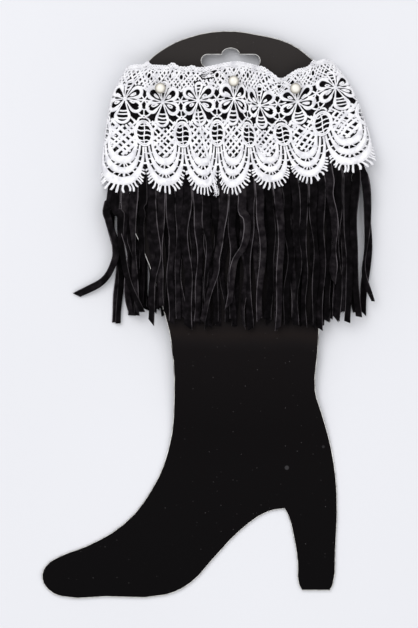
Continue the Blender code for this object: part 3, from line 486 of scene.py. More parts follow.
def lay(s, t, out, side=1, inset=0.0, folded=True, below=True):
    """A point of a topper from its repeat line s, depth t and distance out of the core sheet.

    x = left + across + out (cos b - cos a), z = core + side out min(sin a, sin b), where a and b
    are the angles turned at the left and right fold. Past a fold the tube goes on on its other side.
    What lies below the outer lace is drawn in with the suede.
    """
    s, t, out = np.broadcast_arrays(np.asarray(s, float), np.asarray(t, float), np.asarray(out, float))
    past = (s < LEFT_FOLD) | (s > RIGHT_FOLD)
    s = np.where(s < LEFT_FOLD, 2 * LEFT_FOLD - s, np.where(s > RIGHT_FOLD, 2 * RIGHT_FOLD - s, s))
    side = np.where(past, -side, side)
    depths = (0.0, HUB_DEPTH, BAND_HEM)
    lengths, widths, lefts, heights = [], [], [], []
    for level in range(3):
        length, width = line_lengths(level)
        lengths.append(smooth(LACE_LINES[:, 0], length, s))
        heights.append(smooth(LACE_LINES[:, 0], LACE_LINES[:, 2 + 2 * level], s))
        widths.append(np.full(s.shape, width))
        lefts.append(np.full(s.shape, LACE_LINES[0, 1 + 2 * level]))
    along = smooth(depths, np.array(lengths), t)
    width = smooth(depths, np.array(widths), t)
    left = smooth(depths, np.array(lefts), t) + OUTER_LACE[0]
    y = smooth(depths, np.array(heights), t)
    left_angle = np.clip(along / HALF_TURN, 0, 1) * math.pi / 2
    right_angle = np.clip((width - along) / HALF_TURN, 0, 1) * math.pi / 2
    flat = width - 2 * HALF_TURN
    across = np.clip(along - HALF_TURN, 0, flat)
    front = (side > 0) & folded
    line_spacing = np.interp(s, LACE_LINES[:, 0], np.gradient(LACE_LINES[:, 5], LACE_LINES[:, 0]))
    drawn = draw_in(s, t) if below else np.zeros_like(s)
    fold = fold_height(s + drawn / line_spacing, t) * (side_fade(s) if below else 1.0)
    up = out * np.minimum(np.sin(left_angle), np.sin(right_angle)) + np.where(front, fold, 0.0)
    notch = np.clip(1 - 2 * np.abs(s - NOTCH_LINE), 0, None) ** NOTCH_SHARPNESS
    dip = NOTCH_DROP * notch * np.clip(1 - t / NOTCH_REACH, 0, 1)
    y = y - np.where(front, dip - (0.0 if below else top_bump(s, t)), 0.0)
    x = left + across - inset * (2 * across / flat - 1) + drawn
    x = x + out * (np.cos(right_angle) - np.cos(left_angle))
    return np.stack([x, y, np.maximum(CORE_HEIGHT + side * up, LOWEST)], axis=-1)


class Shell:
    """Points, faces and flat coordinates of one piece, gathered before its mesh is made."""

    def __init__(self):
        self.points, self.faces, self.flat, self.count = [], [], [], 0

    def add(self, points, faces, flat):
        """Adds points with their faces, which count from the first of these points."""
        self.points.append(points)
        self.flat.append(flat)
        self.faces.append((faces, self.count))
        self.count += len(points)

    def join(self, other, shift):
        """Adds all of another shell, moved by shift."""
        self.points += [points + shift for points in other.points]
        self.flat += other.flat
        self.faces += [(faces, start + self.count) for faces, start in other.faces]
        self.count += other.count

    def sweep(self, rings, flat, closed):
        """A tube through rings of points, M rings of N points, closed on itself or capped."""
        many, around = rings.shape[:2]
        i = np.arange(many if closed else many - 1)[:, None]
        j = np.arange(around)[None, :]
        after, turn = (i + 1) % many, (j + 1) % around
        quads = np.stack([i * around + j, i * around + turn, after * around + turn, after * around + j], -1)
        faces = quads.reshape(-1, 4).tolist()
        if not closed:
            faces.append(list(range(around))[::-1])
            faces.append([(many - 1) * around + k for k in range(around)])
        self.add(rings.reshape(-1, 3), faces, flat.reshape(-1, 2))

    def piece(self, name, material, slot, placed=None, flip=False):
        """Makes the mesh. placed maps all points to millimetres of the drawing at once."""
        points = np.concatenate(self.points)
        flat = np.concatenate(self.flat)
        if placed is not None:
            points = placed(points)
        faces = [[k + start for k in face] for group, start in self.faces for face in group]
        if flip:
            faces = [face[::-1] for face in faces]
        mesh = bpy.data.meshes.new(name)
        mesh.from_pydata(((points + SHIFT) * MM).tolist(), [], faces)
        corners = np.zeros(len(mesh.loops), int)
        mesh.loops.foreach_get("vertex_index", corners)
        mesh.uv_layers.new(name="UVMap").data.foreach_set("uv", flat[corners].ravel())
        mesh.shade_smooth()
        mesh.materials.append(material)
        made = bpy.data.objects.new(name, mesh)
        bpy.context.scene.collection.objects.link(made)
        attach(made, "root")
        return made


def even(points, step, closed=False):
    """A Catmull-Rom curve through the points, with new points about step apart."""
    points = np.asarray(points, float)
    if closed:
        points = np.concatenate([points[-1:], points, points[:2]])
    else:
        points = np.concatenate([2 * points[:1] - points[1:2], points, 2 * points[-1:] - points[-2:-1]])
    q = np.linspace(0, 1, 9)[:-1, None]
    pieces = []
    for a, b, c, d in zip(points[:-3], points[1:-2], points[2:-1], points[3:]):
        pieces.append(0.5 * (2 * b + (c - a) * q + (2 * a - 5 * b + 4 * c - d) * q ** 2
                             + (3 * b - a - 3 * c + d) * q ** 3))
    pieces.append(points[-2:-1])
    fine = np.concatenate(pieces)
    along = np.concatenate([[0], np.cumsum(np.linalg.norm(np.diff(fine, axis=0), axis=1))])
    count = max(4 if closed else 2, math.ceil(along[-1] / step) + 1)
    at = np.linspace(0, along[-1], count)
    made = np.stack([np.interp(at, along, fine[:, k]) for k in range(points.shape[1])], axis=1)
    return made[:-1] if closed else made


def stroke(shell, path, half_width, half_height, lift, sides, closed=False):
    """One worked thread or satin bar in the flat lace: an oval section carried along a path.

    The section is (half width cos q, half height sin q) round the path, lift above the middle.
    """
    count = len(path)
    if closed:
        ahead = np.roll(path, -1, axis=0) - np.roll(path, 1, axis=0)
    else:
        ahead = np.gradient(path, axis=0)
    ahead = ahead / np.maximum(np.linalg.norm(ahead, axis=1, keepdims=True), 1e-9)
    across = np.stack([-ahead[:, 1], ahead[:, 0]], axis=1)
    half_width = np.broadcast_to(half_width, (count,))[:, None]
    angles = (np.arange(sides) + 0.5) * 2 * math.pi / sides
    wide, high = np.cos(angles)[None, :], np.sin(angles)[None, :]
    flat = path[:, None, :] + across[:, None, :] * (half_width * wide)[..., None]
    up = np.broadcast_to(lift + half_height * high, (count, sides))
    along = np.concatenate([[0], np.cumsum(np.linalg.norm(np.diff(path, axis=0), axis=1))])
    ribs = np.stack([np.broadcast_to(along[:, None], up.shape), half_width * wide], axis=-1)
    shell.sweep(np.concatenate([flat, up[..., None]], axis=2), ribs, closed)


def petal(angle, centre, radius, start):
    """A petal as a drop: two straight legs from the hub, tangent to a round end.

    The legs leave at asin(radius / centre) either side of the petal's angle, and the end is a
    circle of that radius whose centre lies that far from the hub. Gives u, t and the distance
    along the petal at each point.
    """
    open_angle = math.asin(radius / centre)
    reach = centre * math.cos(open_angle)
    leg = np.linspace(start, reach, 5)[:-1]
    turn = np.linspace(-math.pi / 2 - open_angle, math.pi / 2 + open_angle, 13)
    along = np.concatenate([leg * math.cos(open_angle), centre + radius * np.cos(turn),
                            leg[::-1] * math.cos(open_angle)])
    across = np.concatenate([-leg * math.sin(open_angle), radius * np.sin(turn),
                             leg[::-1] * math.sin(open_angle)])
    way = math.radians(angle)
    u = along * math.cos(way) + across * math.sin(way)
    t = HUB_DEPTH - along * math.sin(way) + across * math.cos(way)
    return np.stack([u, t, along], axis=1)


def drop(angle, start, end, half_width, shift):
    """A closed leaf from start to end and back, half_width sin q sin(q / 2) across, and leaning."""
    q = np.linspace(0, 2 * math.pi, 13)[:-1] + 0.02
    along = start + (end - start) * (1 - np.cos(q)) / 2
    across = half_width * np.sin(q) * np.sin(q / 2) + shift * np.sin(q / 2)
    turn = math.radians(angle)
    u = along * math.cos(turn) + across * math.sin(turn)
    t = HUB_DEPTH - along * math.sin(turn) + across * math.cos(turn)
    return np.stack([u, t], axis=1)


def ring(u, t, half_width, half_height, count):
    """A closed oval of points (half width cos q, half height sin q)."""
    q = np.linspace(0, 2 * math.pi, count + 1)[:-1]
    return np.stack([u + half_width * np.cos(q), t + half_height * np.sin(q)], axis=1)


def band_path(half, step):
    """A scallop band's middle line from its right half, mirrored to the left."""
    right = np.array(half, float)
    left = right[:0:-1] * np.array([-1.0, 1.0])
    return even(np.concatenate([left, right]), step)


def outward_normals(path):
    """The unit normal at each point of a band's middle line, down and out of the lace."""
    ahead = np.gradient(path, axis=0)
    ahead /= np.linalg.norm(ahead, axis=1, keepdims=True)
    return np.stack([-ahead[:, 1], ahead[:, 0]], axis=1)


def worker(shell, step, sides, draw):
    """A function that works one thread of a kind into the shell along a path.

    Its half width is the kind's own, one drawn from the kind's range, or values given along it.
    """
    def work(path, kind, closed=False, half_width=None):
        """Works one thread or, where closed is true, one loop."""
        own, high, lift = THREADS[kind]
        if half_width is None:
            half_width = draw.uniform(*own) if isinstance(own, tuple) else own
        made = even(path, step, closed)
        given = np.atleast_1d(half_width)
        wide = np.interp(np.linspace(0, 1, len(made)), np.linspace(0, 1, len(given)), given)
        stroke(shell, made, wide, high, lift, sides, closed)
    return work


def outside(u, t, ovals):
    """Whether a point lies outside every oval of a table, on both sides of the flower's line."""
    free = True
    for across, down, half_width, half_height in ovals:
        free = free & (((np.abs(u) - across) / half_width) ** 2 + ((t - down) / half_height) ** 2 > 1)
    return free


def in_scallop(u, t):
    """Where the net of a scallop lies: round the long petal and the ovals, above the first band."""
    lowest, rise = SCALLOP_NET_FOOT
    return outside(u, t, SCALLOP_FREE) & (t > SCALLOP_NET_TOP) & (t < lowest - rise * u * u)


def under_braid(u, t):
    """Where the net under the braid lies: round the petals and the eyelet of the half line."""
    top, bottom = BRAID_NET_REACH
    return outside(u, t, BRAID_FREE) & (t > top) & (t < bottom)


def under_torn_braid(u, t):
    """The same, without the torn hole."""
    left, right, top, bottom = TORN_HOLE
    return under_braid(u, t) & np.logical_not((u > left) & (u < right) & (t > top) & (t < bottom))


def work_net(work, draw, inside, sizes):
    """Crossing threads at both slopes, kept where inside(u, t) holds, none quite straight."""
    spacing, slope, thin, thick, low, high = sizes
    for way, kind in ((1.0, "net below"), (-1.0, "net above")):
        reach = HALF + (high - low) / slope
        for start in np.arange(-reach, reach, spacing):
            t = np.arange(low, high, NET_STEP)
            place = start + spacing / 2 + draw.uniform(-NET_STRAY, NET_STRAY) * spacing
            u = place + way / slope * (t - low)
            half_width = draw.uniform(thin, thick)
            bend = draw.uniform(-NET_BEND, NET_BEND)
            keep = inside(u, t) & (np.abs(u) < HALF + 0.2)
            edges = np.flatnonzero(np.diff(np.concatenate([[0], keep.astype(int), [0]])))
            for first, last in edges.reshape(-1, 2):
                if last - first > 3:
                    line = np.stack([u[first:last], t[first:last]], axis=1)[[0, (last - first) // 2, -1]]
                    line[1, 0] += bend * min(1.0, (last - first) / 12)
                    work(line, kind, half_width=half_width)


def work_flower(work, draw):
    """The hub, six petals, a leaf in each side petal, and bars across the upper and long petals."""
    work(ring(0, HUB_DEPTH, HUB_RADIUS, HUB_RADIUS, 8), "hub", True)
    leg = THREADS["petal"][0]
    for angle, centre, radius, wall in PETALS:
        angle += draw.uniform(*PETAL_TURN)
        centre += draw.uniform(*PETAL_SHIFT)
        radius *= draw.uniform(*PETAL_SIZE)
        wall *= draw.uniform(*PETAL_WALL)
        path = petal(angle, centre, radius, PETAL_START)
        round_share = smooth_step((path[:, 2] - centre + radius) / (1.2 * radius))
        work(path[:, :2], "petal", half_width=leg + (wall - leg) * round_share)
    for angle in SIDE_PETALS:
        lean = draw.uniform(*LEAF_LEAN) * (1 if angle in LEAN_LEFT else -1)
        turned = angle + draw.uniform(*LEAF_TURN)
        work(drop(turned, LEAF_START, draw.uniform(*LEAF_END), draw.uniform(*LEAF_HALF_WIDTH), lean),
             "leaf", True)
    for away, half in LONG_PETAL_BARS:
        t = HUB_DEPTH + away + draw.uniform(-0.2, 0.2)
        sag = draw.uniform(0.1, 0.6)
        work([(-half, t), (0, t + sag), (half, t - 0.1)], "long petal bar")
    for away, half in UPPER_PETAL_BARS:
        t = HUB_DEPTH - away
        work([(-half, t + draw.uniform(-0.3, 0.5)), (half, t - 0.2)], "upper petal bar")


def work_knots(work, draw, torn):
    """Short threads scattered over both nets, and loose broken ones in the torn repeat."""
    inside_braid = under_torn_braid if torn else under_braid
    count, half, top, bottom = SCALLOP_KNOTS
    for _ in range(count):
        u, t = draw.uniform(-KNOTS_REACH, KNOTS_REACH), draw.uniform(top, bottom)
        if in_scallop(u, t):
            tilt = draw.uniform(-1.0, 1.0)
            work([(u - half, t - tilt), (u, t + draw.uniform(-0.3, 0.3)), (u + half, t + tilt)],
                 "scallop knot")
    count, half, top, bottom = BRAID_KNOTS
    for _ in range(count):
        u, t = draw.uniform(-KNOTS_REACH, KNOTS_REACH), draw.uniform(top, bottom)
        if inside_braid(u, t):
            work([(u - half, t), (u, t + draw.uniform(-0.7, 0.7)), (u + half, t)], "braid knot")
    for _ in range(TORN_THREADS if torn else 0):
        u, t = draw.uniform(1.8, 8.0), draw.uniform(3.0, 6.6)
        work([(u - 1.6, t - draw.uniform(-0.6, 1.0)), (u, t), (u + 1.8, t + draw.uniform(-1.2, 0.8))],
             "torn thread")
    for u, t in SMALL_EYELETS:
        if not (torn and u > 0):
            work(ring(u, t, 0.95, 1.05, 8), "small eyelet", True)


def work_bands(shell, draw, step, sides):
    """Scallop bands, wide at the bottom and narrow where they run up to the ovals.

    The half width is narrow + (wide - narrow) sin(pi q) to the power of the swell, with a ripple.
    """
    _, high, lift = THREADS["band"]
    ripple, turns = BAND_RIPPLE
    for half, wide, narrow in SCALLOP_BANDS:
        path = band_path(half, step)
        q = np.linspace(0, 1, len(path))
        wave = 1 + ripple * np.sin(q * turns + draw.uniform(0, 6))
        half_width = (narrow + (wide - narrow) * np.sin(math.pi * q) ** BAND_SWELL) * wave
        stroke(shell, path, half_width, high, lift, sides)


def work_band_bars(work, draw):
    """Short bars over the thin gaps between the bands, unevenly spaced."""
    for row, width in BAND_GAPS:
        path = band_path(SCALLOP_BANDS[row][0], BAR_STEP)
        inward = -outward_normals(path)
        place = draw.uniform(2.0, BAR_SPACING)
        while place < BAR_STEP * len(path) - 2.0:
            k = int(place / BAR_STEP)
            swell = math.sin(math.pi * k / len(path)) ** BAND_SWELL
            start = 0.2 + (width - 0.6) * swell
            work([path[k] + inward[k] * start, path[k] + inward[k] * (start + BAR_LENGTH)], "band bar")
            place += BAR_SPACING * draw.uniform(0.6, 1.15)


def work_picots(work, draw):
    """Eyelash picots along the lowest band, each a thread loop that stands out of the hem."""
    half, wide, narrow = SCALLOP_BANDS[-1]
    path = band_path(half, 0.3)
    outward = outward_normals(path)
    low_part = np.flatnonzero(path[:, 1] > PICOT_START)
    longest, shortening = PICOT_LENGTH
    for k in np.linspace(low_part[0], low_part[-1], PICOTS).astype(int):
        side_share = abs(path[k, 0]) / 8.0
        edge = narrow + (wide - narrow) * math.sin(math.pi * k / (len(path) - 1)) ** BAND_SWELL
        long = (longest - shortening * min(side_share, 1.0) ** 2) * draw.uniform(0.82, 1.12)
        way = outward[k] * np.array([1.0 - 0.3 * side_share, 1.0])
        way[0] += draw.uniform(-0.16, 0.16)
        way /= np.linalg.norm(way)
        start = path[k] + outward[k] * (edge - 0.5)
        bend = np.array([way[1], -way[0]]) * draw.uniform(-0.5, 0.5)
        work([start, start + way * long * 0.55 + bend, start + way * long], "picot",
             half_width=PICOT_HALF_WIDTHS)


def flower_repeat(step, sides, draw, torn, hem):
    """One flower and its scallop as worked threads in flat millimetres: u across, t down."""
    made = Shell()
    work = worker(made, step, sides, draw)
    work_flower(work, draw)
    work_net(work, draw, in_scallop, SCALLOP_NET)
    work_net(work, draw, under_torn_braid if torn else under_braid, BRAID_NET)
    work_knots(work, draw, torn)
    work_bands(made, draw, step, sides)
    work_band_bars(work, draw)
    if hem:
        work_picots(work, draw)
    u = np.linspace(-HALF, HALF, max(9, int(22 / step)))
    for kind, depth, wave, length, phase in BRAID:
        t = depth + wave * np.sin(2 * math.pi * u / length + phase)
        stroke(made, np.stack([u, t], axis=1), *THREADS[kind], sides)
    return made


def work_loose(work, draw, rows):
    """Threads that each have one point moved by a draw, by up to its reach."""
    for kind, index, reach, *points in rows:
        path = np.array(points, float)
        path[index] += draw.uniform(-1, 1) * np.array(reach)
        work(path, kind)


def between_flowers(step, sides, draw):
    """What lies on a half line: braid eyelet, crossed threads, knots, medallion and valley slit."""
    made = Shell()
    work = worker(made, step, sides, draw)
    for kind, t, half_width, half_height, points in HALF_LINE_RINGS:
        work(ring(0, t, half_width, half_height, points), kind, True)
    for kind, *points in HALF_LINE_THREADS:
        work(points, kind)
    for kind, *points in MIRRORED_THREADS:
        for way in (-1.0, 1.0):
            work(np.array(points) * np.array([way, 1.0]), kind)
    work_loose(work, draw, UPPER_LOOSE_THREADS)
    for t, half in OVAL_BARS:
        wave = draw.uniform(*OVAL_BAR_WAVE)
        work([(-half, t - wave / 2), (-half / 2, t + wave), (0, t), (half / 2, t - wave),
              (half, t + wave / 2)], "oval bar")
    work_loose(work, draw, VALLEY_BARS)
    return made


def srgb(code):
    """Linear colour of a hex sRGB code."""
    parts = [int(code[k:k + 2], 16) / 255 for k in (1, 3, 5)]
    return tuple(c / 12.92 if c <= 0.04045 else ((c + 0.055) / 1.055) ** 2.4 for c in parts) + (1.0,)


def add_node(tree, kind, settings=None, inputs=None, out=0, stops=()):
    """One shader node, with settings, inputs and a ramp's stops. Gives the output that is named.

    An input is a value or another node's output.
    """
    made = tree.nodes.new(kind)
    for name, value in (settings or {}).items():
        setattr(made, name, value)
    for name, value in (inputs or {}).items():
        if isinstance(value, bpy.types.NodeSocket):
            tree.links.new(value, made.inputs[name])
        else:
            made.inputs[name].default_value = value
    for _ in range(len(stops) - 2):
        made.color_ramp.elements.new(0.5)
    for k, (place, code) in enumerate(stops):
        made.color_ramp.elements[k].position = place
        made.color_ramp.elements[k].color = srgb(code)
    return made.outputs[out]


def new_material(name, constants):
    """A Principled material with its constants set on the sockets themselves.

    Gives the material, a function that adds a node to it, and its shader's sockets.
    """
    material = bpy.data.materials.new(name)
    material.use_nodes = True
    shader = material.node_tree.nodes["Principled BSDF"]
    for socket, value in constants.items():
        shader.inputs[socket].default_value = value
    return material, functools.partial(add_node, material.node_tree), shader.inputs


def finish_material(material, sockets, colour, relief=None):
    """Links the colour, and the relief as a bump, to the shader's sockets."""
    material.node_tree.links.new(colour, sockets["Base Color"])
    if relief is not None:
        material.node_tree.links.new(relief, sockets["Normal"])
    return material


def lace_material():
    """Bleached cotton and rayon embroidery thread: bright, faintly cool white, matt, softly shining.

    Satin stitches lie across each bar every 0.42 mm, a little wavy, with painted shade in the grooves
    between them, and the thread's own tone drifts over about 4 mm.
    """
    material, node, sockets = new_material("lace_thread", {
        "Roughness": 0.7, "Sheen Weight": 0.25, "Sheen Roughness": 0.45, "Specular IOR Level": 0.4,
    })
    place = node("ShaderNodeTexCoord", out="Object")
    flat = node("ShaderNodeUVMap", {"uv_map": "UVMap"})
    along = node("ShaderNodeSeparateXYZ", inputs={"Vector": flat})
    drift = node("ShaderNodeTexNoise",
                 inputs={"Vector": place, "Scale": 260.0, "Detail": 2.0, "Roughness": 0.6})
    shade = node("ShaderNodeValToRGB", inputs={"Fac": drift},
                 stops=[(0.30, "#D6D6DB"), (0.5, "#EEEEF1"), (0.7, "#FAFAFC")])
    wobble = node("ShaderNodeTexNoise",
                  inputs={"Vector": place, "Scale": 1500.0, "Detail": 1.0, "Roughness": 0.6})
    strayed = node("ShaderNodeMath", {"operation": "MULTIPLY"}, {0: wobble, 1: 3.0})
    phase = node("ShaderNodeMath", {"operation": "MULTIPLY_ADD"},
                 {0: along, 1: 2 * math.pi / STITCH_SPACING, 2: strayed})
    rib = node("ShaderNodeMath", {"operation": "SINE"}, {0: phase})
    # Painted shade: the colour greys by up to 0.22 in the grooves between the satin stitches, where the rib
    # is low.
    between = node("ShaderNodeMath", {"operation": "MULTIPLY_ADD"}, {0: rib, 1: -0.11, 2: 0.11})
    colour = node("ShaderNodeMix", {"data_type": "RGBA"}, {0: between, 6: shade, 7: srgb("#B9B6C0")}, 2)
    relief = node("ShaderNodeBump", inputs={"Height": rib, "Strength": 0.45, "Distance": 0.00012})
    return finish_material(material, sockets, colour, relief)


def suede_material():
    """Black faux suede: deep matt black with a short nap, and a pale line along one edge of most strands.

    The nap brushes into patches of about 4 mm, its fibres are about 0.2 mm, and each strand has a
    shade of its own, from its number. The pale line comes and goes over about 8 mm.
    """
    material, node, sockets = new_material("black_suede", {
        "Roughness": 0.95, "Specular IOR Level": 0.03, "Sheen Weight": 0.03, "Sheen Roughness": 0.5,
        "Sheen Tint": srgb("#9C969C"),
    })
    place = node("ShaderNodeTexCoord", out="Object")
    flat = node("ShaderNodeUVMap", {"uv_map": "UVMap"})
    along = node("ShaderNodeSeparateXYZ", inputs={"Vector": flat})
    edge = along.node.outputs["Y"]
    key = node("ShaderNodeMath", {"operation": "DIVIDE"}, {0: along, 1: STRAND_KEY})
    number = node("ShaderNodeMath", {"operation": "FLOOR"}, {0: key})
    own = node("ShaderNodeTexWhiteNoise", {"noise_dimensions": "1D"}, {"W": number})
    patches = node("ShaderNodeTexNoise",
                   inputs={"Vector": place, "Scale": 240.0, "Detail": 2.0, "Roughness": 0.6})
    fibres = node("ShaderNodeTexNoise",
                  inputs={"Vector": place, "Scale": 5200.0, "Detail": 3.0, "Roughness": 0.7})
    brushed = node("ShaderNodeMath", {"operation": "MULTIPLY"}, {0: patches, 1: 0.75})
    level = node("ShaderNodeMath", {"operation": "MULTIPLY_ADD"}, {0: own, 1: 0.28, 2: brushed})
    nap = node("ShaderNodeValToRGB", inputs={"Fac": level}, stops=[
        (0.34, "#050405"), (0.50, "#0D0B0D"), (0.62, "#191619"), (0.76, "#2A2729"),
    ])
    dark = node("ShaderNodeMath", {"operation": "MULTIPLY"}, {0: fibres, 1: 0.35})
    nap = node("ShaderNodeMix", {"data_type": "RGBA"}, {0: dark, 6: nap, 7: srgb("#040404")}, 2)
    # A pale line along one side edge of each strand, its side drawn at random, stronger on paler strands and
    # broken up over about 8 mm.
    cut = node("ShaderNodeMapRange", inputs={"Value": edge, "From Min": 0.72, "From Max": 0.95})
    streaks = node("ShaderNodeTexNoise",
                   inputs={"Vector": place, "Scale": 120.0, "Detail": 2.0, "Roughness": 0.6})
    streaks = node("ShaderNodeMapRange", inputs={"Value": streaks, "From Min": 0.30, "From Max": 0.56})
    line = node("ShaderNodeMath", {"operation": "MULTIPLY"}, {0: cut, 1: streaks})
    paler = node("ShaderNodeMath", {"operation": "ADD"}, {0: own, 1: 0.3})
    pale_line = node("ShaderNodeMath", {"operation": "MULTIPLY"}, {0: line, 1: paler})
    colour = node("ShaderNodeMix", {"data_type": "RGBA"}, {0: pale_line, 6: nap, 7: srgb("#686367")}, 2)
    height = node("ShaderNodeMath", {"operation": "MULTIPLY_ADD"}, {0: patches, 1: 0.6, 2: fibres})
    relief = node("ShaderNodeBump", inputs={"Height": height, "Strength": 0.5, "Distance": 0.0002})
    return finish_material(material, sockets, colour, relief)


def pearl_material():
    """Imitation pearl: cream lacquer over a bead, glossy, with painted shade: greyer from the middle height
    down.
    """
    material, node, sockets = new_material("cream_pearl", {
        "Roughness": 0.3, "Coat Weight": 0.9, "Coat Roughness": 0.06, "Specular IOR Level": 0.4,
    })
    place = node("ShaderNodeTexCoord", out="Object")
    flat = node("ShaderNodeUVMap", {"uv_map": "UVMap"})
    height = node("ShaderNodeSeparateXYZ", inputs={"Vector": flat}, out="Y")
    clouds = node("ShaderNodeTexNoise",
                  inputs={"Vector": place, "Scale": 700.0, "Detail": 2.0, "Roughness": 0.6})
    level = node("ShaderNodeMath", {"operation": "MULTIPLY_ADD"}, {0: clouds, 1: 0.10, 2: height})
    # Painted shade and reflection: grey-brown up to 0.8 of the height, lighter above, so that the rim looks
    # dark from above.
    colour = node("ShaderNodeValToRGB", inputs={"Fac": level}, stops=[
        (0.50, "#6E675B"), (0.80, "#8E887B"), (0.90, "#C3BEB2"), (0.98, "#E2DFD6"),
    ])
    return finish_material(material, sockets, colour)


def card_material():
    """Black matt board: solid dyed, with painted sheen to warm dark grey where the lamp rakes it, and pale
    dust specks.

    A lighter brownish band of painted sheen crosses it just below the fringe, where the bending board
    catches the lamp on its way down to the surface. Its pulp fibres are about 0.4 mm, and its specks
    lie about 2 mm apart, most of them too faint to see. Two faint rubbed spots lie above the heel.
    """
    material, node, sockets = new_material("black_board", {"Roughness": 0.6, "Specular IOR Level": 0.04})
    place = node("ShaderNodeTexCoord", out="Object")
    y = node("ShaderNodeSeparateXYZ", inputs={"Vector": place}, out="Y")
    height = node("ShaderNodeMapRange", inputs={"Value": y, "From Min": -0.155, "From Max": 0.155})
    wander = node("ShaderNodeTexNoise",
                  inputs={"Vector": place, "Scale": 22.0, "Detail": 2.0, "Roughness": 0.6})
    wander = node("ShaderNodeMath", {"operation": "MULTIPLY_ADD"}, {0: wander, 1: 0.03, 2: -0.015})
    level = node("ShaderNodeMath", {"operation": "ADD"}, {0: height, 1: wander})
    # Painted sheen: the colour grows lighter towards the top, with a lighter brownish band at the bend below
    # the fringe.
    colour = node("ShaderNodeValToRGB", inputs={"Fac": level}, stops=[
        (0.02, "#050405"), (0.30, "#080607"), (0.44, "#0E0B0C"), (0.452, "#120F10"), (0.468, "#1A1514"),
        (0.486, "#131011"), (0.55, "#131011"), (0.84, "#292625"), (0.97, "#302D2C"),
    ])
    fibres = node("ShaderNodeTexNoise",
                  inputs={"Vector": place, "Scale": 2600.0, "Detail": 4.0, "Roughness": 0.7})
    dark = node("ShaderNodeMath", {"operation": "MULTIPLY"}, {0: fibres, 1: 0.25})
    colour = node("ShaderNodeMix", {"data_type": "RGBA"}, {0: dark, 6: colour, 7: srgb("#060506")}, 2)
    away = node("ShaderNodeTexVoronoi", inputs={"Vector": place, "Scale": 460.0, "Randomness": 1.0})
    chance = node("ShaderNodeSeparateColor", inputs={"Color": away.node.outputs["Color"]})
    small = node("ShaderNodeMath", {"operation": "LESS_THAN"}, {0: away, 1: 0.10})
    rare = node("ShaderNodeMath", {"operation": "MULTIPLY_ADD"}, {0: chance, 1: 1.6, 2: -1.15})
    rare = node("ShaderNodeMath", {"operation": "MAXIMUM"}, {0: rare, 1: 0.0})
    specks = node("ShaderNodeMath", {"operation": "MULTIPLY"}, {0: small, 1: rare})
    dust = node("ShaderNodeMath", {"operation": "MULTIPLY"}, {0: specks, 1: 0.5})
    colour = node("ShaderNodeMix", {"data_type": "RGBA"}, {0: dust, 6: colour, 7: srgb("#8F8B8C")}, 2)
    for x, y, radius, strength in RUBBED_SPOTS:
        centre = ((x + SHIFT[0]) * MM, (y + SHIFT[1]) * MM, 0.0)
        away = node("ShaderNodeVectorMath", {"operation": "SUBTRACT"}, {0: place, 1: centre})
        away = node("ShaderNodeVectorMath", {"operation": "MULTIPLY"}, {0: away, 1: (1.0, 1.0, 0.0)})
        far = node("ShaderNodeVectorMath", {"operation": "LENGTH"}, {0: away}, "Value")
        spot = node("ShaderNodeMapRange", inputs={
            "Value": far, "From Min": radius * MM, "From Max": 1.5 * radius * MM,
            "To Min": strength, "To Max": 0.0,
        })
        colour = node("ShaderNodeMix", {"data_type": "RGBA"}, {0: spot, 6: colour, 7: srgb("#7E7C80")}, 2)
    relief = node("ShaderNodeBump", inputs={"Height": fibres, "Strength": 0.15, "Distance": 0.0001})
    return finish_material(material, sockets, colour, relief)


def board_edge_material():
    """The board's edge: a pale grey rim, lighter and darker in patches of 2.5 mm."""
    material, node, sockets = new_material("board_edge", {"Roughness": 0.85, "Specular IOR Level": 0.2})
    place = node("ShaderNodeTexCoord", out="Object")
    rubbed = node("ShaderNodeTexNoise",
                  inputs={"Vector": place, "Scale": 400.0, "Detail": 3.0, "Roughness": 0.7})
    colour = node("ShaderNodeValToRGB", inputs={"Fac": rubbed},
                  stops=[(0.30, "#A9A7A6"), (0.5, "#E4E3E0"), (0.75, "#FBFAF8")])
    return finish_material(material, sockets, colour)


def floor_material():
    """Pale grey photographer's board, matt and nearly even, in clouds of a third of a metre."""
    material, node, sockets = new_material("pale_floor", {"Roughness": 0.9, "Specular IOR Level": 0.1})
    place = node("ShaderNodeTexCoord", out="Object")
    clouds = node("ShaderNodeTexNoise",
                  inputs={"Vector": place, "Scale": 3.0, "Detail": 2.0, "Roughness": 0.6})
    colour = node("ShaderNodeValToRGB", inputs={"Fac": clouds},
                  stops=[(0.3, "#D3D4D8"), (0.7, "#D6D7DB")])
    return finish_material(material, sockets, colour)


LACE = lace_material()
SUEDE = suede_material()
PEARL = pearl_material()
CARD = card_material()
BOARD_EDGE = board_edge_material()


def make_lace(name, topper, side, node):
    """A lace panel: flowers and what lies between them, laid round the tube.

    The front panel has the half lines of both side folds, so the back one starts a repeat later.
    """
    front = side > 0
    draw = random.Random(topper.lace_seed + side)
    step, sides = topper.thread_step, topper.thread_sides
    torn = TORN_REPEAT if front and topper.outer else None
    repeats = [(k, flower_repeat(step, sides, draw, k == torn, topper.outer)) for k in range(REPEATS)]
    half_lines = range(-1, REPEATS) if front else range(REPEATS - 1)
    repeats += [(k + 0.5, between_flowers(step, sides, draw)) for k in half_lines]
    whole = Shell()
    for line, one in repeats:
        whole.join(one, np.array([line * PITCH, 0.0, 0.0]))
    out, _ = topper.lace
    piece = whole.piece(name, LACE, "lace", lambda p: lay(
        p[:, 0] / PITCH, topper.slide + p[:, 1], out + p[:, 2], side, topper.inset, topper.outer,
        not topper.outer), front)
    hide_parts(node)
    return piece


def band_top(s):
    """Depth of the suede's top edge, lower at both corners."""
    left = 1 - smooth_step((s - LEFT_FOLD) / BAND_LEFT_CUT[0])
    right = 1 - smooth_step((RIGHT_FOLD - s) / BAND_RIGHT_CUT[0])
    return BAND_TOP + BAND_LEFT_CUT[1] * left + BAND_RIGHT_CUT[1] * right


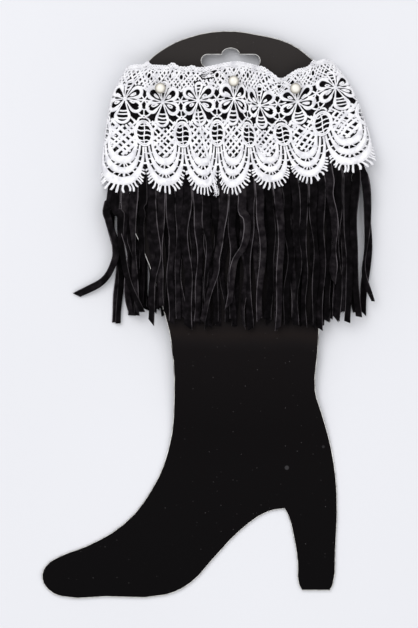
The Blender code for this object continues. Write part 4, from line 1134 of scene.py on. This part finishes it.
def make_band(name, topper, side, node):
    """The suede band: a closed sheet over lines s and depths t, with small waves in its nap.

    The waves are sin(9 s + 0.4 t) sin(0.55 t) times their height, and the edges are rounded off.
    """
    out, thickness = topper.band
    placed = side, topper.inset, topper.outer
    s = np.linspace(LEFT_FOLD + BAND_MARGIN, RIGHT_FOLD - BAND_MARGIN, BAND_COLUMNS)
    share = np.linspace(0, 1, BAND_ROWS)[None, :]
    top = band_top(s)[:, None] + topper.slide
    t = top + (BAND_BOTTOM + topper.slide - top) * share
    waves = BAND_WAVE * np.sin(s[:, None] * 9.0 + t * 0.4) * np.sin(t * 0.55)
    round_edge = 1 - 0.5 * np.clip(1 - np.minimum(share, 1 - share) / BAND_ROUNDING, 0, 1)
    upper = lay(s[:, None], t, out + thickness / 2 * round_edge + waves, *placed)
    lower = lay(s[:, None], t, out - thickness / 2 * round_edge + waves, *placed)
    rings = np.concatenate([upper, lower[:, ::-1]], axis=1)
    along = np.broadcast_to(s[:, None] * PITCH, rings.shape[:2])
    shell = Shell()
    shell.sweep(rings, np.stack([along, np.full(along.shape, BAND_EDGE_SHARE)], axis=-1), False)
    piece = shell.piece(name, SUEDE, "suede", None, side < 0)
    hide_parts(node)
    return piece


def card_edge(y):
    """The card's left and right edge at a height y, from the sides of its outline."""
    right = sorted((py, px) for px, py, _ in CARD_OUTLINE[CARD_RIGHT_SIDE])
    left = sorted((py, px) for px, py, _ in CARD_OUTLINE[CARD_LEFT_SIDE])
    return (np.interp(y, [p[0] for p in left], [p[1] for p in left]),
            np.interp(y, [p[0] for p in right], [p[1] for p in right]))


def rest_height(x, y, level, side):
    """A strand's level, sunk beyond the card's edge and further beyond the inner fringe."""
    if side < 0:
        return np.full(np.shape(x), level)
    left, right = card_edge(y)
    beyond_card = np.maximum(left - x, x - right) - CARD_EDGE_OVERHANG
    sink = CARD_EDGE_SINK * smooth_step(beyond_card / SINK_LENGTH)
    if level > FRONT_LEVELS_INNER[-1]:
        beyond_inner = np.maximum(INNER_REACH[0] - x, x - INNER_REACH[1])
        sink = sink + FAR_SIDE_SINK * smooth_step(beyond_inner / SINK_LENGTH)
    return level - sink


def strand_places(root, index, topper, side, draw):
    """The strand's bends in plan and its level, from the same draws as the part's source."""
    last = topper.strands - 1
    first = root + np.array([SIDE_LEAN * ((index == last) - (index == 0)), -STRAND_SETTLES])
    layer = index % 2
    if topper.outer and side > 0 and index == 0:
        places = STRAY_STRAND[:, :2]
    elif topper.outer and (side, index) in FREE_STRANDS:
        layer, *flat = FREE_STRANDS[(side, index)]
        places = np.array(flat).reshape(4, 2)
    else:
        shift, start, reach = TIP_GATHER
        gather = shift * smooth_step(1 - (root[0] - start) / reach)
        tip_x = root[0] + draw.uniform(-TIP_SWAY, TIP_SWAY) + gather
        tip_y = np.interp(tip_x, TIP_LINE[:, 0], TIP_LINE[:, 1 if side > 0 else 2])
        tip = np.array([tip_x, tip_y + draw.uniform(-TIP_RAGGED, TIP_RAGGED) + topper.tip_lift])
        places = np.array([first + (tip - first) * part for part in STRAND_BENDS])
        places[:-1, 0] += [draw.uniform(-BEND_SWAY, BEND_SWAY) for _ in STRAND_BENDS[:-1]]
    return np.concatenate([[first], places]), topper.levels[side][layer]


def strand_edges(topper):
    """Lines s of the strands' edges, which are evenly wide where they leave the lace."""
    out, _ = topper.band
    outermost = 0.5 - SEAM_GAP / 2 * OUTER_LACE[0] / out / PITCH
    edge = outermost if topper.outer else INNER_FRINGE_EDGE
    s = np.linspace(-edge, REPEATS - 1 + edge, 400)
    depth = STRAND_LEAVES + topper.slide
    steps = np.linalg.norm(np.diff(lay(s, depth, out, 1, topper.inset, False), axis=0), axis=1)
    along = np.concatenate([[0.0], np.cumsum(steps)])
    cuts = np.linspace(0.0, along[-1], topper.strands + 1)
    places = np.stack([cuts[:-1] + STRAND_SPACE / 2, cuts[1:] - STRAND_SPACE / 2], axis=1)
    return np.interp(places, along, s)


def free_length(root, bends, own_place, step, looks):
    """The middle line below the lace: a curve through the bends, with waves and one slow bow.

    A wave is its height times sin(turns q + phase), and the bow is its height times sin(pi q), for
    q from 0 at the root to 1 at the tip. A strand with its own place isn't bowed or shortened.
    """
    if not own_place:
        bends[-1, :2] += (bends[-2, :2] - bends[-1, :2]) * max(0.0, looks.uniform(*TIP_SHORTENED))
    free = even(np.concatenate([root[None, :], bends]), step)[1:]
    q = np.linspace(0, 1, len(free) + 1)[1:]
    for axis, reach in STRAND_WAVES:
        wave = np.sin(q * looks.uniform(*WAVE_TURNS) + looks.uniform(*ANY_PHASE)) * (1 - 0.6 * q ** 2)
        free[:, axis] += looks.uniform(*reach) * wave * smooth_step(q * 3)
    bow = looks.uniform(*STRAND_BOW) * np.sin(math.pi * q)
    if not own_place:
        free[:, 0] += bow
    return free, q


def strand_rings(middle, q, laid, half_width, side, around, looks):
    """The strand's skin: a flat-sided oval section carried along its middle line.

    The section is (w cos a, h sin a), each to a power below 1. It narrows towards the tip, is
    cupped by cup (cos² a - 0.5), and turns by twist sin(turns q). The tip is cut at a slant.
    """
    a = (np.arange(around) + 0.5) * 2 * math.pi / around
    wide = np.sign(np.cos(a)) * np.abs(np.cos(a)) ** SECTION_POWERS[0]
    high = np.sign(np.sin(a)) * np.abs(np.sin(a)) ** SECTION_POWERS[1]
    ahead = np.gradient(middle, axis=0)
    ahead[:, 2] = 0
    ahead /= np.linalg.norm(ahead, axis=1, keepdims=True)
    across = np.stack([-ahead[:, 1], ahead[:, 0], np.zeros(len(ahead))], axis=1)
    laid_half = np.linalg.norm(laid, axis=1)
    across[:len(laid)] = laid / laid_half[:, None]
    half = np.concatenate([laid_half + CUT_CLOSED, np.full(len(middle) - len(laid), half_width)])
    turned = looks.choice(STRAND_TWISTS) * looks.choice((-1, 1))
    twist = turned * np.sin(q * math.pi * looks.uniform(*TWIST_TURNS)) * smooth_step(q * 2)
    cup = looks.uniform(*STRAND_CUP) * smooth_step(q * 2)
    half = half * (1 - looks.uniform(*STRAND_TAPER) * smooth_step((q - 0.1) / 0.5))
    uneven = np.sin(q * looks.uniform(*UNEVEN_TURNS) + looks.uniform(*ANY_PHASE))
    half = half * (1 + UNEVEN_WIDTH * uneven * (q > 0))
    up = np.where(q[:, None] > 0, np.array([0.0, 0.0, float(side)]), np.cross(ahead, across) * side)
    up /= np.linalg.norm(up, axis=1, keepdims=True)
    sideways = half[:, None] * wide
    thick = STRAND_THICKNESS / 2 * high[None, :] + cup[:, None] * (wide[None, :] ** 2 - 0.5) * CUP_DEPTH
    rings = middle[:, None, :] + across[:, None, :] * (sideways * np.cos(twist)[:, None])[..., None]
    rings += up[:, None, :] * (thick + sideways * np.sin(twist)[:, None])[..., None]
    slant = looks.uniform(*TIP_SLANT) * smooth_step((q - 0.9) / 0.1)
    rings += ahead[:, None, :] * (slant[:, None] * sideways)[..., None]
    rings[..., 2] = np.maximum(rings[..., 2], STRAND_LOWEST)
    return rings, wide


def make_fringe(name, topper, side, node):
    """The fringe: each strand is laid under the lace, then runs free to its tip."""
    out, _ = topper.band
    placed = out, side, topper.inset, topper.outer
    leaves = STRAND_LEAVES + topper.slide
    depths = np.linspace(STRIP_TOP - STRAND_TUCK + topper.slide, leaves, topper.laid_rows)
    edges = strand_edges(topper)
    draw = random.Random(topper.strand_seeds[side])
    looks = random.Random(topper.strand_seeds[side] + LOOKS_SEED)
    shell = Shell()
    for index in range(topper.strands):
        pair = lay(edges[index][:, None], depths[None, :], *placed)
        root = lay(edges[index], leaves, *placed)
        places, level = strand_places(root.mean(axis=0)[:2], index, topper, side, draw)
        stray = topper.outer and side > 0 and index == 0
        own_place = topper.outer and (index == 0 or (side, index) in FREE_STRANDS)
        heights = rest_height(places[:, 0], places[:, 1], level, side)
        if stray:
            heights[1:] = STRAY_STRAND[:, 2]
        bends = np.column_stack([places, heights])
        free, q = free_length(root.mean(axis=0), bends, own_place, topper.strand_step, looks)
        middle = np.concatenate([pair.mean(axis=0), free])
        q = np.concatenate([np.zeros(len(depths)), q])
        half_width = np.linalg.norm(root[1] - root[0]) / 2
        rings, wide = strand_rings(middle, q, (pair[1] - pair[0]) / 2, half_width, side,
                                   topper.strand_sides, looks)
        along = np.concatenate([[0], np.cumsum(np.linalg.norm(np.diff(middle, axis=0), axis=1))])
        edge_share = np.broadcast_to(wide * looks.choice((-1, 1)), rings.shape[:2])
        length = np.broadcast_to(along[:, None] + STRAND_KEY * index, rings.shape[:2])
        shell.sweep(rings, np.stack([length, edge_share], axis=-1), False)
    piece = shell.piece(name, SUEDE, "suede", None, side < 0)
    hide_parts(node)
    return piece


def make_pearl(name, line, depth):
    """A sphere by angles a and b, dimpled where it is drilled through along y.

    Its flat coordinate says how high each point lies, for the pearl's painted shade.
    """
    radius = PEARL_DIAMETER / 2
    centre = lay(line, depth, LACE_FACE + radius + PEARL_GAP, below=False)
    a = np.linspace(0, 2 * math.pi, 49)[:-1]
    b = np.concatenate([[-DRILLED_ANGLE], np.linspace(-1.45, 1.45, 23), [DRILLED_ANGLE]])
    dimple = np.where(np.abs(b) == DRILLED_ANGLE, 0.75, 1.0)[:, None]
    x = radius * np.cos(b)[:, None] * np.cos(a) * dimple
    z = radius * np.cos(b)[:, None] * np.sin(a) * dimple
    y = radius * np.sin(b)[:, None] * dimple + 0 * a
    height = (z / radius + 1) / 2
    shell = Shell()
    shell.sweep(np.stack([x, y, z], axis=-1) + centre,
                np.stack([np.broadcast_to(a / (2 * math.pi), z.shape), height], axis=-1), False)
    piece = shell.piece(name + "_bead", PEARL, "pearl", None, True)
    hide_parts(name)
    return piece


def make_stitches():
    """White threads that hold the pearls: from each end of a bead's hole down into the lace.

    The section is (r cos q, r sin q) in plan, tilted by lifting it with sin q.
    """
    shell = Shell()
    q = np.arange(6) * math.pi / 3
    section = np.stack([STITCH_RADIUS * np.cos(q), STITCH_RADIUS * np.sin(q), STITCH_TILT * np.sin(q)], 1)
    for line, depth in PEARLS.values():
        for way in (-1, 1):
            path = even([(line * PITCH + aside, depth + way * away, LACE_FACE + PEARL_GAP + high)
                         for aside, away, high in STITCH_PATH], STITCH_STEP)
            along = np.broadcast_to(np.arange(len(path))[:, None] * STITCH_STEP, (len(path), len(q)))
            shell.sweep(path[:, None, :] + section, np.stack([along, np.zeros(along.shape)], axis=-1), False)
    return shell.piece("pearl_stitches", LACE, "lace", lambda p: lay(
        p[:, 0] / PITCH, p[:, 1], p[:, 2], below=False), True)


def card_height(y):
    """Middle of the board: raised over the toppers, and down on the surface at its foot."""
    drop_height = CORE_HEIGHT - CARD_THICKNESS / 2
    return CORE_HEIGHT - drop_height * smooth_step((CARD_BEND_TOP - y) / CARD_BEND_LENGTH)


def slot_outline():
    """The hang slot: half circles at its right end, on top as the bump, and at its left end."""
    cx, cy = SLOT_CENTRE
    half, radius = SLOT_SIZE[0] / 2, SLOT_SIZE[1] / 2
    bump_half, rise = SLOT_BUMP[0] / 2, SLOT_BUMP[1]
    angles = math.pi * np.linspace(0, 1, 13)
    arcs = []
    for x, y, start, wide, high in ((cx + half - radius, cy, -math.pi / 2, radius, radius),
                                    (cx, cy + radius, 0.0, bump_half, rise),
                                    (cx - half + radius, cy, math.pi / 2, radius, radius)):
        arcs.append(np.stack([x + wide * np.cos(start + angles), y + high * np.sin(start + angles)], axis=1))
    return np.concatenate(arcs)


def card_outline():
    """The board's outline, from a curve with the part's own points and handles."""
    curve = bpy.data.curves.new("outline_guide", "CURVE")
    curve.dimensions = "2D"
    curve.resolution_u = 3
    edge = curve.splines.new("BEZIER")
    edge.bezier_points.add(len(CARD_OUTLINE) - 1)
    for point, (x, y, corner) in zip(edge.bezier_points, CARD_OUTLINE):
        point.co = (x, y, 0.0)
        point.handle_left_type = point.handle_right_type = "VECTOR" if corner else "AUTO"
    edge.use_cyclic_u = True
    guide = bpy.data.objects.new("outline_guide", curve)
    bpy.context.scene.collection.objects.link(guide)
    bpy.context.view_layer.update()
    mesh = guide.to_mesh()
    points = np.array([v.co[:2] for v in mesh.vertices])
    guide.to_mesh_clear()
    bpy.data.objects.remove(guide)
    bpy.data.curves.remove(curve)
    return points


def make_card_edges():
    """The pale cut edge of the board, a thin rim that follows its outline and its hang slot."""
    shell = Shell()
    section = np.array(RIM_SECTION)
    for outline, outward in ((card_outline(), 1.0), (slot_outline(), -1.0)):
        gaps = np.linalg.norm(np.roll(outline, -1, axis=0) - outline, axis=1)
        outline = outline[gaps > SAME_POINT]
        after = np.roll(outline, -1, axis=0)
        ahead = after - np.roll(outline, 1, axis=0)
        ahead /= np.linalg.norm(ahead, axis=1, keepdims=True)
        turn = np.sign(np.sum(outline[:, 0] * after[:, 1] - after[:, 0] * outline[:, 1])) * outward
        across = np.stack([ahead[:, 1], -ahead[:, 0]], axis=1) * turn
        flat = outline[:, None, :] + across[:, None, :] * section[None, :, 0, None]
        z = card_height(outline[:, 1])[:, None] + section[None, :, 1]
        rings = np.concatenate([flat, z[..., None]], axis=2)
        along = np.broadcast_to(np.arange(len(outline))[:, None] * 2.0, z.shape)
        uv = np.stack([along, z], axis=-1)
        if turn > 0:
            rings, uv = rings[:, ::-1], uv[:, ::-1]
        shell.sweep(rings, uv, True)
    return shell.piece("board_edge", BOARD_EDGE, "card")


def make_seam():
    """The lace's own join: two whipping cords down the front, cross stitches, and a frayed tuft."""
    shell = Shell()
    draw = random.Random(SEAM_SEED)
    path = even(np.array(SEAM_LINE) * np.array([PITCH, 1.0]), SEAM_STEP)
    q = np.linspace(0, 1, len(path))
    swell = 0.25 + 0.35 * smooth_step(q * 2)
    _, high, lift = THREADS["seam cord"]
    for phase in (0.0, 2.1):
        wave = np.stack([0.3 * np.sin(q * 40 + phase), np.zeros(len(path))], axis=1)
        stroke(shell, path + wave, swell, high, lift, SEAM_SIDES)
    for k in range(SEAM_FIRST_STITCH, len(path) - 1, 2):
        tilt = draw.uniform(-0.5, 0.7)
        reach = draw.uniform(0.7, 1.4)
        across = np.array([(-reach, -tilt), (0.0, 0.0), (reach, tilt)])
        stroke(shell, even(path[k] + across, 0.7), *THREADS["seam stitch"], SEAM_SIDES)
    half_width, high, lift = THREADS["tuft thread"]
    for k in range(TUFT_THREADS):
        start = path[-1] + np.array([-1.9 + 0.26 * k, draw.uniform(-5.0, -1.8)])
        long = draw.uniform(1.6, 3.8)
        lean = draw.uniform(-1.6, 1.6)
        shape = np.array(TUFT_SHAPE) * np.array([lean, long])
        stroke(shell, even(start + shape, 0.6), draw.uniform(*half_width), high, lift + 0.05 * k, SEAM_SIDES)
    return shell.piece("lace_join", LACE, "lace", lambda p: lay(
        p[:, 0] / PITCH, p[:, 1], OUTER_LACE[0] + p[:, 2], below=False), True)


def stage_and_camera():
    """A pale floor, one broad soft lamp with a weak fill, and a camera straight above."""
    mesh = bpy.data.meshes.new("floor")
    corners = [(x * FLOOR_HALF, y * FLOOR_HALF, FLOOR_LEVEL)
               for x, y in ((-1, -1), (1, -1), (1, 1), (-1, 1))]
    mesh.from_pydata(corners, [], [(0, 1, 2, 3)])
    mesh.materials.append(floor_material())
    floor = bpy.data.objects.new("floor", mesh)
    bpy.context.scene.collection.objects.link(floor)
    world = bpy.data.worlds.new("studio")
    world.use_nodes = True
    sky = world.node_tree.nodes["Background"]
    sky.inputs["Color"].default_value = srgb(SKY_COLOUR)
    sky.inputs["Strength"].default_value = SKY_STRENGTH
    bpy.context.scene.world = world
    for name, place, energy in LAMPS:
        lamp = bpy.data.lights.new(name, "AREA")
        lamp.size = LAMP_SIZE
        lamp.energy = energy
        lamp.color = LAMP_COLOUR
        made = bpy.data.objects.new(name, lamp)
        made.location = place
        aim = np.array(place) / np.linalg.norm(place)
        made.rotation_euler = (math.acos(aim[2]), 0.0, math.atan2(aim[1], aim[0]) + math.pi / 2)
        bpy.context.scene.collection.objects.link(made)
    view = bpy.data.cameras.new("overhead")
    view.sensor_fit = "VERTICAL"
    view.sensor_height = 24.0
    view.lens = view.sensor_height * (CAMERA_DISTANCE - CORE_HEIGHT_SEEN) / VIEW_HEIGHT
    camera = bpy.data.objects.new("overhead", view)
    camera.location = (*((np.array(VIEW_CENTRE) + SHIFT[:2]) * MM), CAMERA_DISTANCE)
    bpy.context.scene.collection.objects.link(camera)
    bpy.context.scene.camera = camera
    bpy.context.scene.view_settings.view_transform = "Standard"


stage_and_camera()
for slot_of_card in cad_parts["display_card"].material_slots:
    slot_of_card.material = CARD
make_card_edges()
join = make_seam()
stitches = make_stitches()
beads = [make_pearl(name, line, depth) for name, (line, depth) in PEARLS.items()]
for side, face in ((1, "front"), (-1, "back")):
    for which, topper in TOPPERS.items():
        make_lace(f"{which}_lace_work_{face}", topper, side, f"{which}_lace_{face}")
        make_band(f"{which}_suede_{face}", topper, side, f"{which}_band_{face}")
        make_fringe(f"{which}_strands_{face}", topper, side, f"{which}_fringe_{face}")
